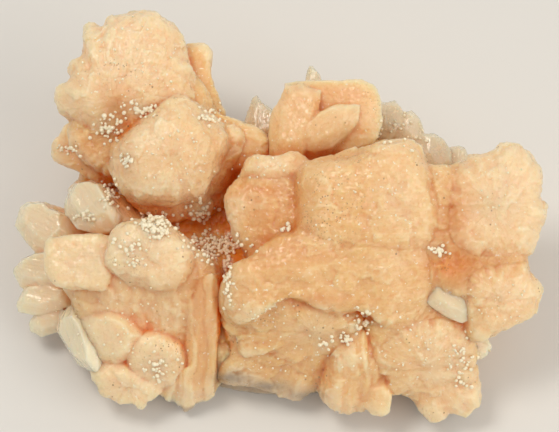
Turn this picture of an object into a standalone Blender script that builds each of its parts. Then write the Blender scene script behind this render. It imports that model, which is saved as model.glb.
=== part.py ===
"""Stilbite cluster: sheaves and blades of stilbite grown together on a thin crust, cut off flat below.

A viewer looks down on the cluster from the front, VIEW_ELEVATION above the horizon and VIEW_DISTANCE
away. The outlines of the crystals are given as that viewer sees them, on a grid with GRID_STEP
millimetres to a step, columns to the right and rows downward. Heights are millimetres above the
surface that the cluster rests on. A facing is (right, up, toward the viewer).
The row frame has +Z up and the viewer on the -Y side. Its origin is in the middle of the flat cut.
"""

import math
import random

import bmesh
import bpy
from mathutils import Matrix, Vector
from mathutils.geometry import intersect_line_plane

# Driving dimensions, in millimetres and degrees
MM = 0.001
LENGTH = 120.0
GRID_LENGTH = 530.0
GRID_STEP = LENGTH / GRID_LENGTH
GRID_MIDDLE = (279.5, 216.0)
VIEW_ELEVATION = math.radians(65)
VIEW_DISTANCE = 475.0
CENTRE = Vector((0.8, 0.9, 22.0))
HEAD_ROOT = 0.62
BLADE_ROOT = 0.35
ROOT_HEIGHT = 2.0
TOP_SHIFT = 0.3
CUTTER_SIDE = 400.0
CUTTER_DEPTH = 40.0

# Small sheaves round the mound: one to each step of its rim, and their plates
FLANK_STEP = 15.0
FLANK_THICKNESS = 5.0
FLANK_PLATES = 2
FLANK_TIPS = 3
FLANK_SPREAD = math.radians(55)
# Shares of a sheaf's reach: how deep it is rooted, its notches, and the width and length of its tail
ROOT_SHARE = 0.5
NOTCH = 0.82
TAIL_WIDTH = 0.3
TAIL_LENGTH = 0.6
# Shares of a plate's thickness: from plate to plate, and how far they lean apart
PLATE_STEP = 0.75
PLATE_LEAN = 0.8
# How much the sheaves differ: heights either way, and least and greatest shares of reach and place
HEIGHT_SPREAD = 0.3
REACHES = (0.8, 1.2)
PLATE_REACHES = (0.85, 1.0)
TIP_REACHES = (0.95, 1.05)
ROOTS = (0.95, 1.0)
SEED = 11

PEACH = (0.80, 0.52, 0.26, 1.0)
ROUGHNESS = 0.45

VIEW_UP = Vector((0.0, math.sin(VIEW_ELEVATION), math.cos(VIEW_ELEVATION)))
VIEW_TOWARD = Vector((0.0, -math.cos(VIEW_ELEVATION), math.sin(VIEW_ELEVATION)))
UPWARD = Vector((0.0, 0.0, 1.0))

# Rings of a crystal from its widest rim to its crown: (share of the rise, share of the width)
DOMED = ((0.0, 1.0), (0.4, 0.95), (0.74, 0.8), (0.93, 0.58), (1.0, 0.33))
BROAD = ((0.0, 1.0), (0.45, 0.96), (0.74, 0.87), (0.92, 0.72), (1.0, 0.45))
FLAT = ((0.0, 1.0), (0.65, 0.95), (1.0, 0.78))
BLADE = ((0.0, 1.0), (1.0, 0.62))
# Rings from the rim back to the root: (share of the way, share of the width), with a groove
SHEAF_BACK = ((0.12, 0.93), (0.24, 0.97), (0.5, 0.86), (1.0, 0.66))
BLADE_BACK = ((0.12, 0.93), (1.0, 0.75))
# Rings of a plate: (share of its thickness, share of its width)
PLATE = ((-0.5, 0.85), (0.0, 1.0), (0.5, 0.85))
# Rings of the mound that the crystals grow on: (height in millimetres, share of the rim's width)
MOUND = ((-2.0, 0.92), (2.5, 0.96), (3.2, 0.94), (10.0, 0.97), (16.0, 0.88), (19.5, 0.68), (21.0, 0.4))
# Rows of small sheaves round the mound: share of the rim's width, height, least and greatest slope,
# how far to the back a sheaf must look to be in the row, and how far the sheaves reach
LOW_ROW = (1.0, 7.0, 0.0, 0.7, -0.3, 10.0)
HIGH_ROW = (0.78, 17.0, 0.6, 1.6, 0.1, 15.0)
# A crown ring narrower than this has its notches evened out: each point keeps this share of its own
# place and takes the rest from its neighbours, this many times
ROUNDED = 0.9
OWN_SHARE = 0.4
EVENINGS = 2

# Each head: its crown, then height of the rim's middle, facing, rise of its crown, how far back its
# root lies as a share of the way to where it grew from, and the outline of its rim
HEADS = {
    "upper_mass": (BROAD, 32, (0.0, 0.05, 1.0), 6, 0.6, [
        (76, 104), (100, 72), (140, 60), (175, 68), (205, 85), (222, 118), (246, 134), (240, 160),
        (225, 186), (204, 198), (160, 200), (120, 184), (86, 164), (68, 140)]),
    "upper_fan": (DOMED, 38, (-0.05, 0.15, 1.0), 8, 0.55, [
        (74, 122), (60, 112), (57, 92), (66, 82), (70, 62), (81, 56), (86, 28), (104, 27), (110, 16),
        (142, 13), (162, 17), (180, 29), (190, 50), (195, 80), (198, 112), (172, 136), (128, 146),
        (92, 138)]),
    "side_fan": (FLAT, 31, (0.2, 0.1, 1.0), 4, 0.55, [
        (180, 52), (200, 45), (208, 53), (211, 76), (216, 92), (224, 117), (205, 122), (185, 105)]),
    "side_lobe": (FLAT, 24, (-0.4, -0.1, 1.0), 4, 0.45, [
        (74, 122), (62, 136), (57, 149), (60, 160), (90, 178), (112, 183), (122, 170), (118, 145),
        (100, 125)]),
    "ball": (DOMED, 34, (0.0, 0.05, 1.0), 12, 0.55, [
        (114, 145), (130, 126), (150, 110), (167, 99), (187, 98), (207, 108), (222, 124), (227, 142),
        (222, 162), (213, 181), (202, 198), (180, 207), (155, 207), (131, 202), (117, 190),
        (111, 168)]),
    "saddle": (FLAT, 31, (0.0, 0.1, 1.0), 3, 0.5, [
        (205, 100), (222, 116), (243, 123), (262, 130), (272, 150), (252, 166), (225, 172),
        (205, 150)]),
    "middle_head": (BROAD, 36, (-0.1, 0.15, 1.0), 5, 0.5, [
        (241, 167), (247, 157), (257, 154), (268, 158), (282, 157), (298, 153), (311, 163), (307, 176),
        (290, 183), (262, 182), (244, 177)]),
    "middle_block": (BROAD, 32, (-0.3, 0.0, 1.0), 4, 0.5, [
        (226, 200), (232, 183), (248, 174), (272, 174), (300, 180), (306, 225), (300, 262), (272, 272),
        (250, 262), (237, 240), (230, 218)]),
    "dome_mass": (BROAD, 32, (0.05, -0.05, 1.0), 6, 0.6, [
        (300, 166), (350, 150), (412, 142), (432, 180), (438, 240), (424, 290), (380, 305), (300, 300),
        (272, 285), (272, 258), (292, 240), (296, 200)]),
    "dome": (BROAD, 36, (0.03, 0.0, 1.0), 8, 0.7, [
        (299, 172), (324, 159), (350, 156), (366, 147), (385, 140), (411, 140), (422, 150), (426, 163),
        (434, 176), (431, 187), (440, 200), (439, 225), (436, 246), (414, 260), (385, 264), (350, 260),
        (318, 258), (297, 246), (295, 215)]),
    "dome_ledge": (BROAD, 29, (0.03, -0.2, 1.0), 5, 0.5, [
        (229, 264), (246, 255), (272, 236), (330, 222), (385, 222), (424, 234), (440, 270), (434, 306),
        (410, 330), (385, 326), (366, 308), (346, 314), (322, 311), (302, 299), (278, 294), (258, 306),
        (240, 326), (226, 310), (224, 286)]),
    "low_mass": (BROAD, 17, (0.0, -0.55, 1.0), 5, 0.5, [
        (236, 285), (300, 285), (365, 304), (360, 325), (336, 348), (320, 388), (270, 382), (226, 370),
        (222, 330), (226, 300)]),
    "lower_mass": (BROAD, 16, (-0.1, -0.65, 1.0), 6, 0.5, [
        (224, 280), (256, 272), (312, 288), (350, 300), (364, 318), (345, 336), (334, 352), (324, 376),
        (303, 396), (270, 387), (240, 380), (218, 373), (216, 358), (224, 336), (219, 308)]),
    "lower_shoulder": (BROAD, 21, (0.0, -0.3, 1.0), 4, 0.45, [
        (228, 288), (254, 276), (286, 292), (306, 304), (332, 313), (360, 320), (350, 334), (328, 350),
        (296, 366), (262, 352), (240, 356), (226, 326)]),
    "columns": (BROAD, 11.6, (0.1, -0.55, 1.0), 5, 0.4, [
        (333, 348), (350, 332), (362, 330), (376, 350), (388, 372), (384, 392), (372, 402), (362, 408),
        (352, 409), (343, 414), (333, 406), (318, 398), (322, 375)]),
    "low_right_mass": (BROAD, 15.5, (0.1, -0.4, 1.0), 5, 0.5, [
        (366, 316), (388, 290), (430, 284), (468, 322), (474, 350), (470, 390), (430, 400), (392, 388),
        (372, 372), (362, 345)]),
    "right_upper_dome": (BROAD, 20, (0.1, -0.3, 1.0), 5, 0.5, [
        (366, 312), (382, 286), (408, 276), (434, 282), (456, 310), (473, 326), (474, 350), (456, 374),
        (424, 382), (388, 366), (368, 342)]),
    "right_lower_fan": (BROAD, 12, (0.15, -0.5, 1.0), 5, 0.45, [
        (372, 350), (396, 320), (440, 308), (472, 330), (479, 362), (480, 384), (476, 400), (466, 408),
        (455, 410), (432, 414), (425, 411), (403, 391), (390, 391), (380, 378)]),
    "right_mass": (BROAD, 31, (0.12, 0.0, 1.0), 5, 0.5, [
        (418, 168), (470, 160), (520, 160), (536, 200), (530, 255), (530, 290), (505, 315), (478, 318),
        (425, 300), (398, 262), (400, 200)]),
    "right_head": (BROAD, 33, (0.15, 0.05, 1.0), 8, 0.5, [
        (440, 190), (446, 171), (467, 157), (483, 150), (498, 144), (511, 144), (526, 153), (540, 170),
        (541, 184), (540, 199), (546, 207), (541, 223), (536, 239), (527, 256), (505, 263), (478, 263),
        (455, 258), (438, 242), (436, 215)]),
    "right_low_head": (BROAD, 25, (0.2, -0.15, 1.0), 6, 0.5, [
        (462, 268), (480, 260), (503, 257), (524, 258), (529, 269), (538, 280), (540, 291), (533, 312),
        (521, 321), (502, 328), (489, 336), (470, 338), (462, 318), (458, 292)]),
    "left_mass": (BROAD, 14, (-0.12, -0.55, 1.0), 6, 0.5, [
        (62, 262), (80, 245), (150, 240), (190, 246), (214, 262), (218, 300), (218, 350), (212, 385),
        (190, 398), (160, 390), (125, 386), (100, 366), (86, 340), (72, 310)]),
    "left_tile": (FLAT, 28, (-0.15, 0.05, 1.0), 3, 0.45, [
        (46, 242), (62, 235), (95, 234), (113, 240), (114, 264), (106, 288), (84, 292), (60, 287),
        (48, 272)]),
    "left_round": (BROAD, 31, (0.0, 0.0, 1.0), 5, 0.5, [
        (107, 250), (112, 232), (124, 221), (142, 216), (161, 217), (178, 227), (190, 240), (195, 258),
        (190, 276), (174, 289), (150, 291), (125, 281), (106, 264)]),
    "left_wall": (FLAT, 18, (-0.1, -0.55, 1.0), 3, 0.45, [
        (104, 282), (150, 276), (188, 286), (190, 330), (172, 345), (140, 346), (112, 334),
        (94, 312)]),
    "left_lump": (FLAT, 13, (0.0, -0.45, 1.0), 4, 0.45, [
        (126, 346), (136, 333), (156, 330), (180, 338), (188, 356), (183, 374), (164, 384), (145, 379),
        (131, 363)]),
    "left_skirt": (FLAT, 8, (-0.1, -0.4, 1.0), 4, 0.35, [
        (92, 366), (115, 358), (142, 368), (162, 384), (157, 396), (150, 398), (143, 404), (136, 398),
        (122, 399), (110, 394), (100, 391), (97, 380)]),
}

# Each blade: height, facing, rise and root as for a head, then the direction that its flat top is
# shifted in, in degrees from the viewer's right, and the outline of its rim
BLADES = {
    "block_plate": (35, (0.0, 0.1, 1.0), 1.5, 0.5, 88, [
        (283, 82), (306, 81), (335, 80), (363, 79), (378, 86), (383, 102), (384, 122), (378, 140),
        (350, 150), (310, 150), (290, 112)]),
    "block_left": (35.4, (-0.25, 0.1, 1.0), 2, 0.4, 35, [
        (268, 132), (270, 114), (281, 96), (285, 84), (303, 84), (322, 90), (318, 114), (306, 138),
        (303, 156), (283, 163), (268, 156)]),
    "block_inner": (36.1, (0.05, 0.0, 1.0), 1.5, 0.3, 120, [
        (318, 112), (336, 104), (362, 103), (360, 120), (346, 135), (333, 147), (315, 152), (299, 147),
        (299, 132), (308, 120)]),
    "back_spur": (25, (-0.1, 0.2, 1.0), 1.5, 0.4, 0, [
        (243, 124), (248, 108), (252, 97), (257, 95), (261, 102), (272, 108), (280, 120), (270, 140),
        (250, 142)]),
    "back_tooth": (31, (0.0, 0.1, 1.0), 1, 0.15, 0, [
        (304, 90), (306, 74), (309, 64), (313, 66), (320, 75), (325, 90)]),
    "grey_blade_1": (24, (0.1, 0.1, 1.0), 1.5, 0.4, 20, [
        (376, 102), (390, 100), (395, 99), (401, 106), (404, 113), (403, 132), (388, 142),
        (374, 132)]),
    "grey_blade_2": (23, (0.2, 0.1, 1.0), 1.5, 0.4, 10, [
        (399, 118), (404, 112), (412, 110), (418, 117), (423, 134), (422, 148), (408, 148),
        (397, 134)]),
    "grey_blade_3": (22, (0.1, 0.2, 1.0), 1.5, 0.4, 30, [
        (418, 133), (434, 133), (445, 141), (452, 152), (452, 172), (434, 178), (418, 158)]),
    "grey_blade_4": (20, (0.2, 0.1, 1.0), 1.5, 0.35, 0, [
        (442, 150), (450, 146), (464, 146), (468, 157), (466, 172), (446, 172)]),
    "low_column": (12, (0.1, -0.3, 1.0), 2, 0.35, 0, [
        (364, 385), (380, 378), (392, 388), (389, 414), (383, 417), (372, 417), (363, 408)]),
    "pale_facet": (17, (-0.3, -0.2, 1.0), 3, 0.35, 20, [
        (76, 322), (86, 310), (108, 306), (128, 316), (142, 335), (134, 354), (116, 368), (97, 364),
        (84, 342)]),
    "striated_blade": (16, (0.15, -0.5, 1.0), 3, 0.4, 0, [
        (187, 300), (196, 282), (212, 272), (219, 290), (220, 325), (218, 372), (214, 398), (185, 412),
        (157, 396), (162, 380), (182, 368), (186, 332)]),
    "pale_blade_1": (27, (-0.5, 0.2, 1.0), 3, 0.4, 45, [
        (64, 214), (64, 203), (69, 190), (75, 183), (92, 181), (104, 185), (113, 200), (120, 214),
        (118, 228), (98, 236), (76, 230)]),
    "pale_blade_2": (19, (-0.35, 0.2, 1.0), 2.5, 0.4, 60, [
        (15, 226), (20, 207), (27, 202), (45, 202), (53, 210), (70, 216), (74, 240), (52, 264),
        (32, 252)]),
    "pale_blade_3": (16, (-0.3, 0.0, 1.0), 2.5, 0.4, 80, [
        (12, 270), (21, 259), (35, 252), (52, 250), (72, 262), (68, 286), (46, 294), (20, 287)]),
    "pale_blade_4": (13, (-0.2, 0.1, 1.0), 2, 0.4, 80, [
        (16, 305), (24, 288), (48, 284), (76, 292), (72, 306), (36, 316), (18, 312)]),
    "pale_blade_5": (9, (-0.2, -0.1, 1.0), 2, 0.35, 70, [
        (29, 322), (36, 312), (66, 300), (76, 318), (60, 332), (41, 337), (30, 331)]),
    "slant_blade": (13, (-0.9, -0.1, 1.0), 2.5, 0.35, 25, [
        (56, 330), (58, 314), (74, 302), (86, 318), (97, 348), (99, 376), (79, 366), (66, 348)]),
    "white_blade": (27.6, (0.2, 0.2, 1.0), 2, 0.35, 50, [
        (420, 283), (437, 279), (456, 292), (473, 304), (476, 318), (463, 324), (444, 316),
        (426, 303)]),
    "white_tip": (13, (0.1, 0.0, 1.0), 1.5, 0.3, 70, [
        (466, 338), (487, 335), (494, 348), (485, 358), (477, 361), (462, 356)]),
}

# Rim of the mound, in millimetres on the resting plane
MOUND_RIM = [
    (-15, -34), (-4, -36), (8, -36), (19, -34), (32, -34), (43, -27), (49, -18), (53, -8), (53, 4),
    (50, 15), (41, 18), (33, 22), (25, 28), (16, 34), (4, 33), (-3, 26), (-13, 26), (-19, 36),
    (-32, 39), (-42, 33), (-45, 21), (-47, 8), (-49, -4), (-44, -18), (-36, -27), (-26, -32),
]


def facing(right, up, toward):
    """The row-frame direction of a facing in the view."""
    return (Vector((right, 0.0, 0.0)) + VIEW_UP * up + VIEW_TOWARD * toward).normalized()


def on_plane(column, row, point, normal):
    """Where the line of sight through a place on the view grid meets a plane, in millimetres."""
    eye = CENTRE + VIEW_TOWARD * VIEW_DISTANCE
    right = (column - GRID_MIDDLE[0]) * GRID_STEP
    up = (GRID_MIDDLE[1] - row) * GRID_STEP
    seen = CENTRE + Vector((right, 0.0, 0.0)) + VIEW_UP * up
    return intersect_line_plane(eye, seen, point, normal)


def add_rings(mesh, rings):
    """A closed body through rings of points in millimetres, from its root to its crown."""
    corners = [mesh.verts.new(place * MM) for place in rings[0]]
    face = mesh.faces.new(corners)
    made = list(corners)
    for index, ring in enumerate(rings[1:]):
        grown = bmesh.ops.extrude_face_region(mesh, geom=[face])["geom"]
        if index:
            bmesh.ops.delete(mesh, geom=[face], context="FACES_ONLY")
        face = next(item for item in grown if isinstance(item, bmesh.types.BMFace))
        for corner, place in zip(face.verts, ring):
            corner.co = place * MM
        made += list(face.verts)
    return made


def rounded(rim):
    """The rim with its notches and tips evened out, each point drawn to the middle of its neighbours."""
    for _ in range(EVENINGS):
        before = rim[-1:] + rim[:-1]
        after = rim[1:] + rim[:1]
        rim = [here * OWN_SHARE + (left + right) * (1 - OWN_SHARE) / 2
               for left, here, right in zip(before, rim, after)]
    return rim


def rim_of(height, normal, outline):
    """The middle of a rim, and the rim's points around it."""
    column = sum(place[0] for place in outline) / len(outline)
    row = sum(place[1] for place in outline) / len(outline)
    middle = on_plane(column, row, UPWARD * height, UPWARD)
    return middle, [on_plane(*place, middle, normal) - middle for place in outline]


def back_to_root(middle, rim, sink, draw_in, back_rings):
    """Rings from a crystal's root to just behind its rim."""
    origin = Vector((middle.x * draw_in, middle.y * draw_in, ROOT_HEIGHT))
    back = (origin - middle) * sink
    return [[middle + back * share + offset * width for offset in rim]
            for share, width in reversed(back_rings)]


def add_head(mesh, crown_rings, height, face, rise, sink, outline):
    """A head of crystals, whose crown is rounded."""
    normal = facing(*face)
    middle, rim = rim_of(height, normal, outline)
    inner = rounded(rim)
    rings = back_to_root(middle, rim, sink, HEAD_ROOT, SHEAF_BACK)
    for share, width in crown_rings:
        around = inner if width < ROUNDED else rim
        rings.append([middle + normal * rise * share + offset * width for offset in around])
    add_rings(mesh, rings)


def add_blade(mesh, height, face, rise, sink, angle, outline):
    """A blade, whose flat top is shifted to one side, so that one of its sloping faces is broad."""
    normal = facing(*face)
    middle, rim = rim_of(height, normal, outline)
    right = (Vector((1.0, 0.0, 0.0)) - normal * normal.x).normalized()
    toward = Matrix.Rotation(math.radians(angle), 3, normal) @ right
    reach = min(offset.length for offset in rim)
    rings = back_to_root(middle, rim, sink, BLADE_ROOT, BLADE_BACK)
    for share, width in BLADE:
        lift = normal * rise * share + toward * reach * TOP_SHIFT * share
        rings.append([middle + lift + offset * width for offset in rim])
    add_rings(mesh, rings)


def add_mound(mesh):
    """The massive stilbite and the thin crust under it, which the crystals grow on."""
    add_rings(mesh, [[Vector((x * width, y * width, height)) for x, y in MOUND_RIM]
                     for height, width in MOUND])


def add_plate(mesh, outline, thickness, place):
    """A flat crystal of an outline that is widest half way through its thickness."""
    made = add_rings(mesh, [[Vector((x * width, y * width, thickness * level)) for x, y in outline]
                            for level, width in PLATE])
    bmesh.ops.transform(mesh, matrix=place, verts=made)


def fan_outline(draw, reach, tips):
    """A fan of pointed tips round its root, closed by a narrow tail."""
    points = [(reach * TAIL_WIDTH, -reach * TAIL_LENGTH)]
    for index in range(2 * tips - 1):
        angle = FLANK_SPREAD * (1.0 - index / (tips - 1))
        notch = NOTCH if index % 2 else draw.uniform(*TIP_REACHES)
        points.append((reach * notch * math.sin(angle), reach * notch * math.cos(angle)))
    return points + [(-reach * TAIL_WIDTH, -reach * TAIL_LENGTH)]


def add_flank(mesh, draw, place, outward, slope, reach):
    """A small sheaf that grows outward and upward from the side of the mound."""
    grow = (outward + UPWARD * slope).normalized()
    side = UPWARD.cross(outward).normalized()
    turn = draw.uniform(0.0, math.pi)
    across = grow.cross(side)
    normal = side * math.cos(turn) + across * math.sin(turn)
    root = place * draw.uniform(*ROOTS) - grow * reach * ROOT_SHARE
    for index in range(FLANK_PLATES):
        shift = (index - (FLANK_PLATES - 1) / 2) * FLANK_THICKNESS * PLATE_STEP
        lean = (grow * reach + normal * shift * PLATE_LEAN).normalized()
        broad = (normal - lean * normal.dot(lean)).normalized()
        turned = Matrix((lean.cross(broad), lean, broad)).transposed().to_4x4()
        outline = fan_outline(draw, reach * draw.uniform(*PLATE_REACHES), FLANK_TIPS)
        put = Matrix.Translation((root + normal * shift) * MM) @ turned
        add_plate(mesh, outline, FLANK_THICKNESS, put)


def add_flanks(mesh, draw, width, height, least, greatest, backward, reach):
    """A row of sheaves round the side of the mound, one to each FLANK_STEP of its rim."""
    rim = [Vector((x * width, y * width, height)) for x, y in MOUND_RIM]
    left = FLANK_STEP / 2
    for start, end in zip(rim, rim[1:] + rim[:1]):
        length = (end - start).length
        outward = (end - start).cross(UPWARD).normalized()
        while left < length:
            rise = height * draw.uniform(-HEIGHT_SPREAD, HEIGHT_SPREAD)
            place = start.lerp(end, left / length) + UPWARD * rise
            slope = draw.uniform(least, greatest)
            if outward.y >= backward:
                add_flank(mesh, draw, place, outward, slope, reach * draw.uniform(*REACHES))
            left += FLANK_STEP
        left -= length


def mesh_object(name, mesh, helper=False):
    """A new object of a bmesh. A helper is left out of renders."""
    bmesh.ops.recalc_face_normals(mesh, faces=mesh.faces)
    data = bpy.data.meshes.new(name)
    mesh.to_mesh(data)
    mesh.free()
    made = bpy.data.objects.new(name, data)
    bpy.context.scene.collection.objects.link(made)
    if helper:
        made.hide_render = True
        made.display_type = "WIRE"
    return made


def shell_of(face, waiting):
    """The faces that reach a face over edges where just two faces meet, taken from those waiting."""
    shell = {face}
    border = [face]
    while border:
        here = border.pop()
        for edge in here.edges:
            if len(edge.link_faces) == 2:
                near = set(edge.link_faces) & waiting
                waiting -= near
                shell |= near
                border += near
    return shell


def fill_sealed_gaps(joined):
    """Applies an object's modifiers and fills the sealed gaps that are left between its crystals."""
    shape = bmesh.new()
    shape.from_object(joined, bpy.context.evaluated_depsgraph_get())
    waiting = set(shape.faces)
    outside = set()
    while waiting:
        outside = max(outside, shell_of(waiting.pop(), waiting), key=len)
    gaps = [face for face in shape.faces if face not in outside]
    bmesh.ops.delete(shape, geom=gaps, context="FACES")
    joined.modifiers.clear()
    shape.to_mesh(joined.data)
    shape.free()


def main():
    """Builds the cluster as one solid."""
    for old in list(bpy.data.objects):
        bpy.data.objects.remove(old)
    mound = bmesh.new()
    add_mound(mound)
    cluster = mesh_object("stilbite_cluster", mound)

    crystals = bmesh.new()
    draw = random.Random(SEED)
    add_flanks(crystals, draw, *LOW_ROW)
    add_flanks(crystals, draw, *HIGH_ROW)
    for values in HEADS.values():
        add_head(crystals, *values)
    for values in BLADES.values():
        add_blade(crystals, *values)
    grown = mesh_object("crystals", crystals, helper=True)

    below = bmesh.new()
    bmesh.ops.create_cube(below, size=1.0)
    bmesh.ops.scale(below, vec=Vector((CUTTER_SIDE, CUTTER_SIDE, CUTTER_DEPTH)) * MM, verts=below.verts)
    bmesh.ops.translate(below, vec=(0.0, 0.0, -CUTTER_DEPTH * MM / 2), verts=below.verts)
    floor_cutter = mesh_object("floor_cutter", below, helper=True)

    join = cluster.modifiers.new("join crystals", "BOOLEAN")
    join.operation = "UNION"
    join.solver = "EXACT"
    join.use_self = True
    join.object = grown
    cut = cluster.modifiers.new("flat cut", "BOOLEAN")
    cut.operation = "DIFFERENCE"
    cut.solver = "EXACT"
    cut.object = floor_cutter
    fill_sealed_gaps(cluster)

    look = bpy.data.materials.new("stilbite")
    look.use_nodes = True
    shader = look.node_tree.nodes["Principled BSDF"]
    shader.inputs["Base Color"].default_value = PEACH
    shader.inputs["Roughness"].default_value = ROUGHNESS
    cluster.data.materials.append(look)


main()
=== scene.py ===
"""The stilbite cluster: peach sheaves and blades grown together, dressed and shown in a plain studio.

A viewer looks down on the cluster from the front. The outlines of the crystals are given as that viewer
sees them, on a grid with columns to the right and rows downward, as in the solid that this scene stands
for. Sizes are millimetres unless a name says otherwise, and the meshes are made in metres.
"""

import logging
import math
import random
from dataclasses import dataclass, fields
from enum import Enum

import bmesh
import bpy
import numpy as np
from mathutils import Euler, Matrix, Vector
from mathutils.bvhtree import BVHTree
from mathutils.geometry import intersect_line_plane

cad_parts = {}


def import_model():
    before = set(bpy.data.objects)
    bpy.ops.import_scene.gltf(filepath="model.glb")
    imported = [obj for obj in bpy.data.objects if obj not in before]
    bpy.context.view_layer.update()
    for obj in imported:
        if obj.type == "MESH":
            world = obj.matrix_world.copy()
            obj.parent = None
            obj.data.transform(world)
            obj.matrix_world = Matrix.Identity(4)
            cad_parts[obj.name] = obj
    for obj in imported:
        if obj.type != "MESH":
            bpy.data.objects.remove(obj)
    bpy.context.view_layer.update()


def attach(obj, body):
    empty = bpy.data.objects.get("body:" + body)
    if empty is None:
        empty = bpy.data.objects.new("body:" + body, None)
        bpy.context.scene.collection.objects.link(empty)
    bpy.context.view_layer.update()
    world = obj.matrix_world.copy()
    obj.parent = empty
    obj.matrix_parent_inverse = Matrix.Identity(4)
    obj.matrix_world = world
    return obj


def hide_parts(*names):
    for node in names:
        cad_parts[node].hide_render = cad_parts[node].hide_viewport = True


NODE = "stilbite_cluster"
BODY = "root"

MM = 0.001
UPWARD = Vector((0.0, 0.0, 1.0))
ROOT_HEIGHT = 2.0
CRYSTAL_LAYER = "crystal"
RIM_PARTS = 4
EVENING_TIMES = 14
LOBE_HEIGHT = 0.45
LOBE_LIMITS = (-1.6, 1.2)
PLATE_STEP = 1.6
FLOW_STEPS = 14
SEAM_STEPS = 6
FULL_TURN = 2 * math.pi

Place = tuple[float, float]
Direction = tuple[float, float, float]
Colour = tuple[float, float, float, float]

log = logging.getLogger("stilbite")


@dataclass(frozen=True)
class Tint:
    """A place with a tint (stains and crust are its own colour; glow and lit spots are painted shade and
    painted light): its middle and half widths on the grid, and how strong it is.
    """

    middle: Place
    reach: Place
    share: float = 1.0


@dataclass(frozen=True)
class Unevenness:
    """One layer of unevenness on the crystals: how wide its forms are, how high, and which random set."""

    size: float
    height: float
    seed: int


STEPS = Unevenness(7.0, 0.4, 29)
FACETS = (Unevenness(1.6, 0.12, 9), Unevenness(4.16, 0.336, 19), Unevenness(0.88, 0.096, 39))
WAVES = (Unevenness(7.0, 0.35, 3), Unevenness(3.0, 0.25, 5), Unevenness(1.2, 0.14, 7))
# How the ridges stray, in ridges
DRIFTS = (Unevenness(6.0, 0.7, 0), Unevenness(2.3, 0.25, 1))

# How closed in a place is where each painted tint begins and where it is full: painted shade in the gaps,
# along the seams and among the beads, painted glow beside the gaps, painted light on crests and edges
GAP_NEAR = (0.45, 0.9)
GAP_FAR = (0.46, 0.78)
SEAM_SHADE_NEAR = (0.3, 0.55)
PAINTED_GLOW_FAR = (0.4, 0.55)
LIT_CREST_FAR = (0.22, 0.4)
RIM_LIGHT_NEAR = (0.14, 0.28)
BEAD_FAR = (0.55, 0.85)
# The heights between which the crust gives way to clean crystal
CRUST_TOP = (3.6, 5.1)

# Where brown specks gather
STAINS = (
    Tint((281, 171), (10, 4)), Tint((309, 108), (4, 16)), Tint((330, 205), (34, 34)),
    Tint((352, 334), (6, 8)), Tint((124, 239), (4, 4)), Tint((128, 262), (16, 9)),
    Tint((160, 345), (30, 14)), Tint((350, 160), (16, 5)), Tint((262, 318), (16, 7)),
    Tint((118, 70), (20, 12)), Tint((372, 98), (12, 14)), Tint((445, 262), (8, 10)))
# Painted glow and shade: darker orange spots beside the gaps between heads and on shaded sides, standing in
# for light shining through and for shade
PAINTED_GLOWS = (
    Tint((118, 112), (14, 26), 0.6), Tint((170, 202), (46, 6), 0.2), Tint((224, 158), (8, 26), 0.25),
    Tint((100, 140), (20, 12), 0.2), Tint((238, 150), (20, 18), 0.15), Tint((262, 189), (34, 7), 0.5),
    Tint((272, 226), (28, 34), 0.5), Tint((296, 205), (7, 44), 0.35), Tint((318, 156), (30, 7), 0.3),
    Tint((322, 255), (24, 6), 0.3), Tint((364, 215), (3, 26), 0.35), Tint((316, 300), (44, 7), 0.45),
    Tint((250, 262), (20, 8), 0.2), Tint((452, 266), (24, 18), 1.0), Tint((456, 215), (14, 32), 0.6),
    Tint((490, 262), (34, 6), 0.3), Tint((346, 340), (8, 8), 0.7), Tint((330, 366), (6, 22), 0.25),
    Tint((285, 366), (26, 10), 0.25), Tint((262, 343), (34, 5), 0.2), Tint((112, 297), (30, 7), 0.1),
    Tint((90, 232), (22, 4), 0.25), Tint((204, 310), (14, 70), 0.4), Tint((314, 104), (4, 13), 0.4),
    Tint((322, 152), (26, 5), 0.3), Tint((84, 160), (24, 24), 0.45), Tint((330, 92), (44, 14), 0.2),
    Tint((125, 168), (10, 12), 0.2))
# Where the crystal is paler: partly its own cream colour, partly painted light that brightens places in shade
CREAM_AND_LIT_SPOTS = (
    Tint((128, 50), (40, 34), 0.4), Tint((150, 135), (28, 20), 0.6), Tint((405, 195), (30, 46), 0.45),
    Tint((508, 190), (34, 40), 0.6), Tint((500, 292), (34, 26), 0.4), Tint((310, 330), (30, 14), 0.4),
    Tint((440, 360), (34, 34), 0.35), Tint((150, 250), (44, 34), 0.7), Tint((80, 262), (34, 28), 0.7),
    Tint((108, 335), (30, 30), 0.4), Tint((158, 356), (28, 24), 0.4), Tint((130, 385), (34, 16), 0.4),
    Tint((185, 398), (30, 14), 0.5), Tint((275, 165), (30, 10), 0.35),
    Tint((165, 186), (34, 12), 0.5), Tint((140, 318), (50, 26), 0.7))
# Where the crust shows at the near edge
CRUST_EDGES = (Tint((232, 378), (20, 6)), Tint((268, 387), (22, 6)), Tint((306, 397), (20, 6)))


def linear(red: int, green: int, blue: int) -> Colour:
    """A linear colour of a screen colour.

    Args:
        red: Red from 0 to 255.
        green: Green from 0 to 255.
        blue: Blue from 0 to 255.

    Returns:
        The four parts that a colour socket takes.
    """
    parts = [value / 255 for value in (red, green, blue)]
    return tuple(((part + 0.055) / 1.055) ** 2.4 for part in parts) + (1.0,)


def eased(values: np.ndarray, low: float, high: float) -> np.ndarray:
    """A smooth step from 0 to 1.

    Args:
        values: The numbers to grade.
        low: Where the step starts.
        high: Where the step ends.

    Returns:
        One share for each number.
    """
    share = np.clip((values - low) / (high - low), 0.0, 1.0)
    return share * share * (3.0 - 2.0 * share)


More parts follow.
